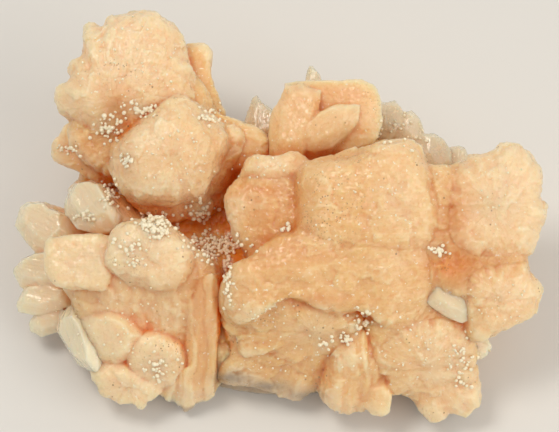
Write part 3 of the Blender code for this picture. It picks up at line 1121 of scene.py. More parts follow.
@dataclass
class Group:
    """A group of crystals that grew side by side."""

    def crystals(self) -> list[Crystal]:
        """The group's crystals, in their order."""
        values = [getattr(self, item.name) for item in fields(self)]
        return [value for value in values if isinstance(value, Crystal)]


@dataclass
class Piece:
    """Groups of crystals that have one skin.

    Attributes:
        name: The piece's name.
        groups: The groups that it is made of.
        finish: Its finish.
        skin: The size of the skin's faces.
        plain_height: How far up from the cut the unevenness grows to its full height.
        rest_height: What is lower than this lies on the cut.
        feeler: How far off the skin it is felt how enclosed a place is.
    """

    name: str
    groups: tuple[Group, ...]
    finish: StilbiteFinish = PEACH
    skin: float = 0.38
    plain_height: float = 1.5
    rest_height: float = 0.3
    feeler: float = 1.2

    def crystals(self) -> list[Crystal]:
        """All the crystals of its groups, in their order."""
        return [crystal for group in self.groups for crystal in group.crystals()]

    def bodies(self) -> bmesh.types.BMesh:
        """The plain closed bodies of the crystals, cut off where the cluster rests.

        Returns:
            A mesh whose faces carry the number of their crystal.
        """
        mesh = bmesh.new()
        for mark, crystal in enumerate(self.crystals()):
            crystal.add_to(mesh, mark)
        cut_at_rest(mesh)
        return mesh

    def build(self, mesh: bmesh.types.BMesh, enclosure: Enclosure) -> bpy.types.Object:
        """Makes the finished piece of the plain bodies.

        Args:
            mesh: The plain bodies, which are used up.
            enclosure: How enclosed each place is.

        Returns:
            The piece.
        """
        piece = mesh_object(self.name, mesh)
        one_skin(piece, self.skin)
        self.sculpt(piece.data, mesh, enclosure)
        mesh.free()
        piece.data.shade_smooth()
        piece.data.materials.append(self.finish.material())
        return piece

    def sculpt(self, skin: bpy.types.Mesh, mesh: bmesh.types.BMesh, enclosure: Enclosure) -> None:
        """Raises the ridges of each crystal and stores what the finish reads.

        Args:
            skin: The piece's skin.
            mesh: The plain bodies.
            enclosure: How enclosed each place is.
        """
        places = numbers(skin, "co") / MM
        owner = owners(places, mesh)
        softness = np.array([crystal.habit.lumpiness for crystal in self.crystals()] or [0.5])[owner]
        steps = facets(places / STEPS.size, STEPS.seed) * STEPS.height * softness
        places = places + numbers(skin, "normal") * steps[:, None]
        places = flowing(skin, places, FLOW_STEPS, (softness**2)[:, None])
        move_to(skin, places)
        stands = np.zeros(len(places))
        grain = places.copy()
        pale = np.zeros(len(places))
        lumpy = np.ones(len(places))
        for mark, crystal in enumerate(self.crystals()):
            mine = owner == mark
            if mine.any():
                stands[mine], grain[mine] = crystal.relief(places[mine], mark * 17)
                pale[mine] = crystal.pale
                lumpy[mine] = crystal.habit.lumpiness
        uneven = sum(facets(places / layer.size, layer.seed) * layer.height for layer in FACETS)
        uneven += sum(wandering(places, layer.size, layer.seed) * layer.height for layer in WAVES)
        stands += uneven * lumpy
        stands *= eased(places[:, 2], 0.0, self.plain_height)
        places = places + numbers(skin, "normal") * stands[:, None]
        places[:, 2] = np.where(places[:, 2] < self.rest_height, 0.0, places[:, 2])
        move_to(skin, places)
        carry(skin, "grain", grain)
        self.tint(skin, places, enclosure, seams(skin, owner), pale)

    def tint(
        self, skin: bpy.types.Mesh, places: np.ndarray, enclosure: Enclosure, seam: np.ndarray,
        pale: np.ndarray,
    ) -> None:
        """Stores where each colour of the finish shows, the painted shade, glow and light among them.

        Args:
            skin: The piece's skin.
            places: Where its vertices are.
            enclosure: How enclosed each place is.
            seam: How near each vertex is to a seam, which gets painted shade.
            pale: How pale its crystal is.
        """
        outside = places + numbers(skin, "normal") * self.feeler
        near = enclosure.at(outside, enclosure.near)
        far = enclosure.at(outside, enclosure.far)
        crust = 1.0 - eased(places[:, 2], *CRUST_TOP)
        # Painted shade along the seams between crystals, only where the cluster closes in, unevenly strong
        seam = seam * eased(near, *SEAM_SHADE_NEAR) * (0.32 + 0.3 * wandering(places, 9.0, 41))
        shares = {
            # Painted shade in the gaps, from how enclosed each place is
            "depth": 0.3 * eased(near, *GAP_NEAR) + 0.95 * eased(far, *GAP_FAR),
            # Painted glow and shade: the painted spots, the seams and the enclosed places
            "painted_glow": tinted(places, PAINTED_GLOWS) + seam + 0.15 * eased(far, *PAINTED_GLOW_FAR),
            # The crystal's own paleness plus painted light on lit spots and on crests that stand free
            "pale": pale + tinted(places, CREAM_AND_LIT_SPOTS) + 0.35 * (1.0 - eased(far, *LIT_CREST_FAR)),
            # Painted rim light where the surface stands free
            "edge": 1.0 - eased(near, *RIM_LIGHT_NEAR),
            "stain": tinted(places, STAINS),
            "crust": np.maximum(crust, tinted(places, CRUST_EDGES)),
        }
        for name, share in shares.items():
            carry(skin, name, np.clip(share, 0.0, 1.0))


def edge_ends(skin: bpy.types.Mesh) -> tuple[np.ndarray, np.ndarray]:
    """The numbers of the vertices at the two ends of each edge."""
    edges = np.empty(len(skin.edges) * 2, dtype=np.int32)
    skin.edges.foreach_get("vertices", edges)
    return tuple(edges.reshape(-1, 2).T)


def flowing(skin: bpy.types.Mesh, values: np.ndarray, steps: int, softness: np.ndarray | float) -> np.ndarray:
    """Evens values out over a skin, each vertex toward the mean of its neighbours.

    Args:
        skin: The skin.
        values: The values of its vertices, one vertex to a row.
        steps: How many times they are evened out.
        softness: How much each vertex gives way, from 0 to 1.

    Returns:
        The new values.
    """
    start, end = edge_ends(skin)
    count = len(values)
    degree = np.bincount(start, minlength=count) + np.bincount(end, minlength=count)
    for _ in range(steps):
        around = np.column_stack([
            np.bincount(start, axis[end], count) + np.bincount(end, axis[start], count) for axis in values.T])
        values = values + (around / degree[:, None] - values) * 0.5 * softness
    return values


def seams(skin: bpy.types.Mesh, owner: np.ndarray) -> np.ndarray:
    """How near each vertex of a skin is to a seam between two crystals, from 0 to 1."""
    start, end = edge_ends(skin)
    crossing = owner[start] != owner[end]
    values = np.zeros((len(owner), 1))
    values[start[crossing]] = 1.0
    values[end[crossing]] = 1.0
    return np.clip(flowing(skin, values, SEAM_STEPS, 1.0)[:, 0] * 2.0, 0.0, 1.0)


def owners(places: np.ndarray, mesh: bmesh.types.BMesh) -> np.ndarray:
    """Which crystal each place belongs to.

    Args:
        places: Places on the skin, one to a row.
        mesh: The plain bodies.

    Returns:
        The crystals' numbers.
    """
    mesh.faces.ensure_lookup_table()
    layer = mesh.faces.layers.int[CRYSTAL_LAYER]
    marks = [face[layer] for face in mesh.faces]
    tree = BVHTree.FromBMesh(mesh)
    return np.array([marks[tree.find_nearest(place * MM)[2]] for place in map(Vector, places)])


def tinted(places: np.ndarray, tints: tuple[Tint, ...]) -> np.ndarray:
    """How strongly tints cover each place, from 0 to 1.

    Args:
        places: Places on the surface, one to a row.
        tints: The tints.

    Returns:
        One share for each place.
    """
    total = np.zeros(len(places))
    for tint in tints:
        spot = VIEW.seen(*tint.middle)
        offset = places - np.array(VIEW.eye)
        sight = (spot - VIEW.eye).normalized()
        along = offset @ np.array(sight)
        aside = offset - along[:, None] * np.array(sight)
        right = aside @ np.array((1.0, 0.0, 0.0)) / VIEW.grid_step / tint.reach[0]
        up = aside @ np.array(VIEW.up) / VIEW.grid_step / tint.reach[1]
        total += np.exp(-right * right - up * up) * tint.share
    return np.clip(total, 0.0, 1.0)


def cut_at_rest(mesh: bmesh.types.BMesh) -> None:
    """Cuts bodies off flat where the cluster rests, and closes them."""
    everything = mesh.verts[:] + mesh.edges[:] + mesh.faces[:]
    bmesh.ops.bisect_plane(mesh, geom=everything, plane_co=(0, 0, 0), plane_no=(0, 0, -1), clear_outer=True)
    bmesh.ops.holes_fill(mesh, edges=[edge for edge in mesh.edges if edge.is_boundary])
    bmesh.ops.recalc_face_normals(mesh, faces=mesh.faces)


@dataclass
class UpperHeads(Group):
    """The fan, the ball and the lobes at the viewer's upper left."""

    upper_mass: Crystal = Crystal(32, (0.0, 0.05, 1.0), 6, 0.6, Habit.BROAD, fan(140, 130), (
        (76, 104), (100, 72), (140, 60), (175, 68), (205, 85), (222, 118), (246, 134), (240, 160),
        (225, 186), (204, 198), (160, 200), (120, 184), (86, 164), (68, 140)))
    upper_fan: Crystal = Crystal(38, (-0.05, 0.15, 1.0), 8, 0.55, Habit.DOMED, fan(118, 112, 3.4, 0.3), (
        (74, 122), (60, 112), (57, 92), (66, 82), (70, 62), (81, 56), (86, 28), (104, 27), (110, 16),
        (142, 13), (162, 17), (180, 29), (190, 50), (195, 80), (198, 112), (172, 136), (128, 146),
        (92, 138)), 0.5)
    side_fan: Crystal = Crystal(31, (0.2, 0.1, 1.0), 4, 0.55, Habit.FLAT, fan(192, 100, 1.6, 0.15), (
        (180, 52), (200, 45), (208, 53), (211, 76), (216, 92), (224, 117), (205, 122), (185, 105)))
    side_lobe: Crystal = Crystal(24, (-0.4, -0.1, 1.0), 4, 0.45, Habit.FLAT, fan(104, 152, 1.6, 0.15), (
        (74, 122), (62, 136), (57, 149), (60, 160), (90, 178), (112, 183), (122, 170), (118, 145),
        (100, 125)), 0.2)
    ball: Crystal = Crystal(34, (0.0, 0.05, 1.0), 12, 0.55, Habit.DOMED, fan(178, 160, 3.0, 0.25), (
        (114, 145), (130, 126), (150, 110), (167, 99), (187, 98), (207, 108), (222, 124), (227, 142),
        (222, 162), (213, 181), (202, 198), (180, 207), (155, 207), (131, 202), (117, 190), (111, 168)), 0.3)
    saddle: Crystal = Crystal(31, (0.0, 0.1, 1.0), 3, 0.5, Habit.FLAT, stack(80, 1.5, 0.12), (
        (205, 100), (222, 116), (243, 123), (262, 130), (272, 150), (252, 166), (225, 172), (205, 150)))


@dataclass
class BackBlock(Group):
    """The tabular crystals at the back and the heads between them and the big dome."""

    middle_head: Crystal = Crystal(36, (-0.1, 0.15, 1.0), 5, 0.5, Habit.BROAD, stack(85, 1.6, 0.12), (
        (241, 167), (247, 157), (257, 154), (268, 158), (282, 157), (298, 153), (311, 163), (307, 176),
        (290, 183), (262, 182), (244, 177)), 0.2)
    middle_block: Crystal = Crystal(32, (-0.3, 0.0, 1.0), 4, 0.5, Habit.BROAD, stack(80, 1.5, 0.1), (
        (226, 200), (232, 183), (248, 174), (272, 174), (300, 180), (306, 225), (300, 262), (272, 272),
        (250, 262), (237, 240), (230, 218)))
    block_plate: Crystal = Crystal(35, (0.0, 0.1, 1.0), 1.5, 0.5, Habit.BLADE, stack(88, 1.1, 0.08), (
        (283, 82), (306, 81), (335, 80), (363, 79), (378, 86), (383, 102), (384, 122), (378, 140),
        (350, 150), (310, 150), (290, 112)), 0.15)
    block_left: Crystal = Crystal(35.4, (-0.25, 0.1, 1.0), 2, 0.4, Habit.BLADE, stack(35, 1.2, 0.08), (
        (268, 132), (270, 114), (281, 96), (285, 84), (303, 84), (322, 90), (318, 114), (306, 138),
        (303, 156), (283, 163), (268, 156)), 0.15)
    block_inner: Crystal = Crystal(36.1, (0.05, 0.0, 1.0), 1.5, 0.3, Habit.BLADE, stack(120, 1.4, 0.06), (
        (318, 112), (336, 104), (362, 103), (360, 120), (346, 135), (333, 147), (315, 152), (299, 147),
        (299, 132), (308, 120)), 0.25)


@dataclass
class GreyBlades(Group):
    """The small clear blades that stand along the back."""

    back_spur: Crystal = Crystal(25, (-0.1, 0.2, 1.0), 1.5, 0.4, Habit.BLADE, stack(0, 1.0, 0.06), (
        (243, 124), (248, 108), (252, 97), (257, 95), (261, 102), (272, 108), (280, 120), (270, 140),
        (250, 142)))
    back_tooth: Crystal = Crystal(31, (0.0, 0.1, 1.0), 1, 0.15, Habit.BLADE, stack(0, 1.0, 0.05), (
        (304, 90), (306, 74), (309, 64), (313, 66), (320, 75), (325, 90)))
    grey_blade_1: Crystal = Crystal(24, (0.1, 0.1, 1.0), 1.5, 0.4, Habit.BLADE, stack(20, 1.0, 0.06), (
        (376, 102), (390, 100), (395, 99), (401, 106), (404, 113), (403, 132), (388, 142), (374, 132)))
    grey_blade_2: Crystal = Crystal(23, (0.2, 0.1, 1.0), 1.5, 0.4, Habit.BLADE, stack(10, 1.0, 0.06), (
        (399, 118), (404, 112), (412, 110), (418, 117), (423, 134), (422, 148), (408, 148), (397, 134)))
    grey_blade_3: Crystal = Crystal(22, (0.1, 0.2, 1.0), 1.5, 0.4, Habit.BLADE, stack(30, 1.0, 0.06), (
        (418, 133), (434, 133), (445, 141), (452, 152), (452, 172), (434, 178), (418, 158)))
    grey_blade_4: Crystal = Crystal(20, (0.2, 0.1, 1.0), 1.5, 0.35, Habit.BLADE, stack(0, 1.0, 0.06), (
        (442, 150), (450, 146), (464, 146), (468, 157), (466, 172), (446, 172)))


@dataclass
class CentreHeads(Group):
    """The big dome of stacked plates and the ledge below it."""

    dome_mass: Crystal = Crystal(32, (0.05, -0.05, 1.0), 6, 0.6, Habit.BROAD, stack(90), (
        (300, 166), (350, 150), (412, 142), (432, 180), (438, 240), (424, 290), (380, 305), (300, 300),
        (272, 285), (272, 258), (292, 240), (296, 200)))
    dome: Crystal = Crystal(36, (0.03, 0.0, 1.0), 8, 0.7, Habit.BROAD, stack(92, 1.7, 0.08), (
        (299, 172), (324, 159), (350, 156), (366, 147), (385, 140), (411, 140), (422, 150), (426, 163),
        (434, 176), (431, 187), (440, 200), (439, 225), (436, 246), (414, 260), (385, 264), (350, 260),
        (318, 258), (297, 246), (295, 215)))
    dome_ledge: Crystal = Crystal(29, (0.03, -0.2, 1.0), 5, 0.5, Habit.BROAD, stack(95, 1.8, 0.08), (
        (229, 264), (246, 255), (272, 236), (330, 222), (385, 222), (424, 234), (440, 270), (434, 306),
        (410, 330), (385, 326), (366, 308), (346, 314), (322, 311), (302, 299), (278, 294), (258, 306),
        (240, 326), (226, 310), (224, 286)))


@dataclass
class LowerHeads(Group):
    """The broad heads in front of the dome, down to the cluster's near edge."""

    low_mass: Crystal = Crystal(17, (0.0, -0.55, 1.0), 5, 0.5, Habit.BROAD, fan(318, 318), (
        (236, 285), (300, 285), (365, 304), (360, 325), (336, 348), (320, 388), (270, 382), (226, 370),
        (222, 330), (226, 300)))
    lower_mass: Crystal = Crystal(16, (-0.1, -0.65, 1.0), 6, 0.5, Habit.BROAD, fan(318, 318, 2.2, 0.16), (
        (224, 280), (256, 272), (312, 288), (350, 300), (364, 318), (345, 336), (334, 352), (324, 376),
        (303, 396), (270, 387), (240, 380), (218, 373), (216, 358), (224, 336), (219, 308)))
    lower_shoulder: Crystal = Crystal(21, (0.0, -0.3, 1.0), 4, 0.45, Habit.BROAD, fan(320, 322, 2.2, 0.18), (
        (228, 288), (254, 276), (286, 292), (306, 304), (332, 313), (360, 320), (350, 334), (328, 350),
        (296, 366), (262, 352), (240, 356), (226, 326)))
    columns: Crystal = Crystal(11.6, (0.1, -0.55, 1.0), 5, 0.4, Habit.BROAD, stack(0, 1.5, 0.14), (
        (333, 348), (350, 332), (362, 330), (376, 350), (388, 372), (384, 392), (372, 402), (362, 408),
        (352, 409), (343, 414), (333, 406), (318, 398), (322, 375)), 0.1)
    low_right_mass: Crystal = Crystal(15.5, (0.1, -0.4, 1.0), 5, 0.5, Habit.BROAD, fan(415, 330), (
        (366, 316), (388, 290), (430, 284), (468, 322), (474, 350), (470, 390), (430, 400), (392, 388),
        (372, 372), (362, 345)))
    right_upper_dome: Crystal = Crystal(20, (0.1, -0.3, 1.0), 5, 0.5, Habit.BROAD, fan(415, 318, 2.0, 0.2), (
        (366, 312), (382, 286), (408, 276), (434, 282), (456, 310), (473, 326), (474, 350), (456, 374),
        (424, 382), (388, 366), (368, 342)))
    right_lower_fan: Crystal = Crystal(
        12, (0.15, -0.5, 1.0), 5, 0.45, Habit.BROAD, fan(424, 358, 1.8, 0.28), (
        (372, 350), (396, 320), (440, 308), (472, 330), (479, 362), (480, 384), (476, 400), (466, 408),
        (455, 410), (432, 414), (425, 411), (403, 391), (390, 391), (380, 378)), 0.2)
    low_column: Crystal = Crystal(12, (0.1, -0.3, 1.0), 2, 0.35, Habit.BLADE, stack(0, 1.0, 0.1), (
        (364, 385), (380, 378), (392, 388), (389, 414), (383, 417), (372, 417), (363, 408)), 0.2)


@dataclass
class RightHeads(Group):
    """The two smooth heads at the right end."""

    right_mass: Crystal = Crystal(31, (0.12, 0.0, 1.0), 5, 0.5, Habit.BROAD, fan(490, 230), (
        (418, 168), (470, 160), (520, 160), (536, 200), (530, 255), (530, 290), (505, 315), (478, 318),
        (425, 300), (398, 262), (400, 200)))
    right_head: Crystal = Crystal(33, (0.15, 0.05, 1.0), 8, 0.5, Habit.BROAD, fan(484, 208, 2.4, 0.2), (
        (440, 190), (446, 171), (467, 157), (483, 150), (498, 144), (511, 144), (526, 153), (540, 170),
        (541, 184), (540, 199), (546, 207), (541, 223), (536, 239), (527, 256), (505, 263), (478, 263),
        (455, 258), (438, 242), (436, 215)), 0.35)
    right_low_head: Crystal = Crystal(25, (0.2, -0.15, 1.0), 6, 0.5, Habit.BROAD, fan(492, 292, 2.0, 0.2), (
        (462, 268), (480, 260), (503, 257), (524, 258), (529, 269), (538, 280), (540, 291), (533, 312),
        (521, 321), (502, 328), (489, 336), (470, 338), (462, 318), (458, 292)), 0.1)


@dataclass
class LeftSheaves(Group):
    """The tiles, columns and lumps at the left."""

    left_mass: Crystal = Crystal(14, (-0.12, -0.55, 1.0), 6, 0.5, Habit.BROAD, stack(0, 1.6, 0.2), (
        (62, 262), (80, 245), (150, 240), (190, 246), (214, 262), (218, 300), (218, 350), (212, 385),
        (190, 398), (160, 390), (125, 386), (100, 366), (86, 340), (72, 310)))
    left_tile: Crystal = Crystal(28, (-0.15, 0.05, 1.0), 3, 0.45, Habit.FLAT, stack(90, 1.5, 0.08), (
        (46, 242), (62, 235), (95, 234), (113, 240), (114, 264), (106, 288), (84, 292), (60, 287),
        (48, 272)), 0.2)
    left_round: Crystal = Crystal(31, (0.0, 0.0, 1.0), 5, 0.5, Habit.BROAD, fan(150, 254, 2.0, 0.1), (
        (107, 250), (112, 232), (124, 221), (142, 216), (161, 217), (178, 227), (190, 240), (195, 258),
        (190, 276), (174, 289), (150, 291), (125, 281), (106, 264)), 0.15)
    left_wall: Crystal = Crystal(18, (-0.1, -0.55, 1.0), 3, 0.45, Habit.FLAT, stack(0, 1.8, 0.2), (
        (104, 282), (150, 276), (188, 286), (190, 330), (172, 345), (140, 346), (112, 334), (94, 312)), 0.15)
    left_lump: Crystal = Crystal(13, (0.0, -0.45, 1.0), 4, 0.45, Habit.FLAT, stack(10, 1.6, 0.12), (
        (126, 346), (136, 333), (156, 330), (180, 338), (188, 356), (183, 374), (164, 384), (145, 379),
        (131, 363)), 0.3)
    left_skirt: Crystal = Crystal(8, (-0.1, -0.4, 1.0), 4, 0.35, Habit.FLAT, fan(132, 380, 1.4, 0.2), (
        (92, 366), (115, 358), (142, 368), (162, 384), (157, 396), (150, 398), (143, 404), (136, 398),
        (122, 399), (110, 394), (100, 391), (97, 380)), 0.35)
    pale_facet: Crystal = Crystal(17, (-0.3, -0.2, 1.0), 3, 0.35, Habit.BLADE, stack(20, 1.6, 0.08), (
        (76, 322), (86, 310), (108, 306), (128, 316), (142, 335), (134, 354), (116, 368), (97, 364),
        (84, 342)), 0.45)
    striated_blade: Crystal = Crystal(16, (0.15, -0.5, 1.0), 3, 0.4, Habit.BLADE, stack(0, 1.3, 0.3), (
        (187, 300), (196, 282), (212, 272), (219, 290), (220, 325), (218, 372), (214, 398), (185, 412),
        (157, 396), (162, 380), (182, 368), (186, 332)), 0.1)


@dataclass
class PaleBlades(Group):
    """The pearly blades at the left edge and low on the right."""

    pale_blade_1: Crystal = Crystal(27, (-0.5, 0.2, 1.0), 3, 0.4, Habit.BLADE, stack(45, 1.4, 0.07), (
        (64, 214), (64, 203), (69, 190), (75, 183), (92, 181), (104, 185), (113, 200), (120, 214),
        (118, 228), (98, 236), (76, 230)), 0.3)
    pale_blade_2: Crystal = Crystal(19, (-0.35, 0.2, 1.0), 2.5, 0.4, Habit.BLADE, stack(60, 1.4, 0.08), (
        (15, 226), (20, 207), (27, 202), (45, 202), (53, 210), (70, 216), (74, 240), (52, 264), (32, 252)))
    pale_blade_3: Crystal = Crystal(16, (-0.3, 0.0, 1.0), 2.5, 0.4, Habit.BLADE, stack(80, 1.4, 0.08), (
        (12, 270), (21, 259), (35, 252), (52, 250), (72, 262), (68, 286), (46, 294), (20, 287)))
    pale_blade_4: Crystal = Crystal(13, (-0.2, 0.1, 1.0), 2, 0.4, Habit.BLADE, stack(80, 1.3, 0.08), (
        (16, 305), (24, 288), (48, 284), (76, 292), (72, 306), (36, 316), (18, 312)))
    pale_blade_5: Crystal = Crystal(9, (-0.2, -0.1, 1.0), 2, 0.35, Habit.BLADE, stack(70, 1.3, 0.08), (
        (29, 322), (36, 312), (66, 300), (76, 318), (60, 332), (41, 337), (30, 331)))
    slant_blade: Crystal = Crystal(13, (-0.9, -0.1, 1.0), 2.5, 0.35, Habit.BLADE, stack(25, 1.2, 0.06), (
        (56, 330), (58, 314), (74, 302), (86, 318), (97, 348), (99, 376), (79, 366), (66, 348)), 0.5)
    white_blade: Crystal = Crystal(27.6, (0.2, 0.2, 1.0), 2, 0.35, Habit.BLADE, stack(50, 1.2, 0.06), (
        (420, 283), (437, 279), (456, 292), (473, 304), (476, 318), (463, 324), (444, 316), (426, 303)), 0.1)
    white_tip: Crystal = Crystal(13, (0.1, 0.0, 1.0), 1.5, 0.3, Habit.BLADE, stack(70, 1.0, 0.08), (
        (466, 338), (487, 335), (494, 348), (485, 358), (477, 361), (462, 356)), 0.5)


@dataclass(frozen=True)
class FlankRow:
    """A row of small sheaves round the side of the mound.

    Attributes:
        width: The row's width as a share of the mound's rim.
        height: Its height.
        least: The least slope that a sheaf grows at.
        greatest: The greatest slope.
        backward: How far to the back a sheaf must look to be in the row.
        reach: How far its sheaves reach.
    """

    width: float
    height: float
    least: float
    greatest: float
    backward: float
    reach: float


@dataclass
class Mound(Piece):
    """The massive stilbite under the heads, the thin crust below it, and the small sheaves at its sides.

    Attributes:
        seed: Which random numbers.
        rings: The mound's rings from its foot to its top: height, and width as a share of the rim's.
        rim: The mound's outline from above.
        rows: The rows of sheaves.
        flank_step: How far apart the sheaves of a row grow.
        flank_thickness: How thick a sheaf's blades are.
        flank_plates: How many blades a sheaf has.
        flank_tips: How many tips a blade has.
    """

    name: str = "mound"
    groups: tuple[Group, ...] = ()
    skin: float = 0.5
    seed: int = 11
    rings: tuple[Place, ...] = (
        (-2.0, 0.92), (2.5, 0.96), (3.2, 0.94), (10.0, 0.97), (16.0, 0.88), (19.5, 0.68), (21.0, 0.4))
    rim: tuple[Place, ...] = (
        (-15, -34), (-4, -36), (8, -36), (19, -34), (32, -34), (43, -27), (49, -18), (53, -8), (53, 4),
        (50, 15), (41, 18), (33, 22), (25, 28), (16, 34), (4, 33), (-3, 26), (-13, 26), (-19, 36),
        (-32, 39), (-42, 33), (-45, 21), (-47, 8), (-49, -4), (-44, -18), (-36, -27), (-26, -32))
    rows: tuple[FlankRow, ...] = (
        FlankRow(1.0, 7.0, 0.0, 0.7, -0.3, 10.0), FlankRow(0.78, 17.0, 0.6, 1.6, 0.1, 15.0))
    flank_step: float = 15.0
    flank_thickness: float = 5.0
    flank_plates: int = 2
    flank_tips: int = 3

    def bodies(self) -> bmesh.types.BMesh:
        """The mound and the sheaves round it, cut off where the cluster rests."""
        mesh = bmesh.new()
        rim = drawn_round([Vector((x, y, 0.0)) for x, y in self.rim], 3)
        add_rings(mesh, [[point * width + UPWARD * height for point in rim]
                         for height, width in self.rings], 0)
        draw = random.Random(self.seed)
        for row in self.rows:
            self.add_flanks(mesh, draw, row)
        cut_at_rest(mesh)
        return mesh

    def add_flanks(self, mesh: bmesh.types.BMesh, draw: random.Random, row: FlankRow) -> None:
        """Adds a row of sheaves round the side of the mound.

        Args:
            mesh: The mesh that gets them.
            draw: The random numbers.
            row: The row.
        """
        rim = [Vector((x * row.width, y * row.width, row.height)) for x, y in self.rim]
        left = self.flank_step / 2
        for start, end in zip(rim, rim[1:] + rim[:1]):
            length = (end - start).length
            outward = (end - start).cross(UPWARD).normalized()
            while left < length:
                place = start.lerp(end, left / length) + UPWARD * row.height * draw.uniform(-0.3, 0.3)
                slope = draw.uniform(row.least, row.greatest)
                if outward.y >= row.backward:
                    self.add_flank(mesh, draw, place, outward, slope, row.reach * draw.uniform(0.8, 1.2))
                left += self.flank_step
            left -= length

    def add_flank(
        self, mesh: bmesh.types.BMesh, draw: random.Random, place: Vector, outward: Vector, slope: float,
        reach: float,
    ) -> None:
        """Adds a small sheaf of blades.

        Args:
            mesh: The mesh that gets it.
            draw: The random numbers.
            place: Where it grows.
            outward: The level direction out of the mound.
            slope: How steeply it grows upward.
            reach: How far its tips reach.
        """
        grow = (outward + UPWARD * slope).normalized()
        side = UPWARD.cross(outward).normalized()
        turn = draw.uniform(0.0, math.pi)
        across = grow.cross(side)
        normal = side * math.cos(turn) + across * math.sin(turn)
        root = place * draw.uniform(0.95, 1.0) - grow * reach * 0.5
        for index in range(self.flank_plates):
            shift = (index - (self.flank_plates - 1) / 2) * self.flank_thickness * 0.75
            lean = (grow * reach + normal * shift * 0.8).normalized()
            broad = (normal - lean * normal.dot(lean)).normalized()
            turned = Matrix((lean.cross(broad), lean, broad)).transposed().to_4x4()
            outline = self.fan_outline(draw, reach * draw.uniform(0.85, 1.0))
            rings = [[Vector((x * width, y * width, self.flank_thickness * level)) for x, y in outline]
                     for level, width in ((-0.5, 0.85), (0.0, 1.0), (0.5, 0.85))]
            made = add_rings(mesh, rings, 0)
            put = Matrix.Translation((root + normal * shift) * MM) @ turned
            bmesh.ops.transform(mesh, matrix=put, verts=made)

    def fan_outline(self, draw: random.Random, reach: float) -> list[Place]:
        """The outline of a fan of pointed tips, closed by a narrow tail.

        Args:
            draw: The random numbers.
            reach: How far the tips reach.

        Returns:
            The outline's points.
        """
        spread = math.radians(55)
        points = [(reach * 0.3, -reach * 0.6)]
        for index in range(2 * self.flank_tips - 1):
            angle = spread * (1.0 - index / (self.flank_tips - 1))
            notch = 0.82 if index % 2 else draw.uniform(0.95, 1.05)
            points.append((reach * notch * math.sin(angle), reach * notch * math.cos(angle)))
        return points + [(-reach * 0.3, -reach * 0.6)]


@dataclass(frozen=True)
class Patch:
    """A place where bead crystals sit: its middle and half widths on the grid, and how many there are."""

    middle: Place
    reach: Place
    count: int


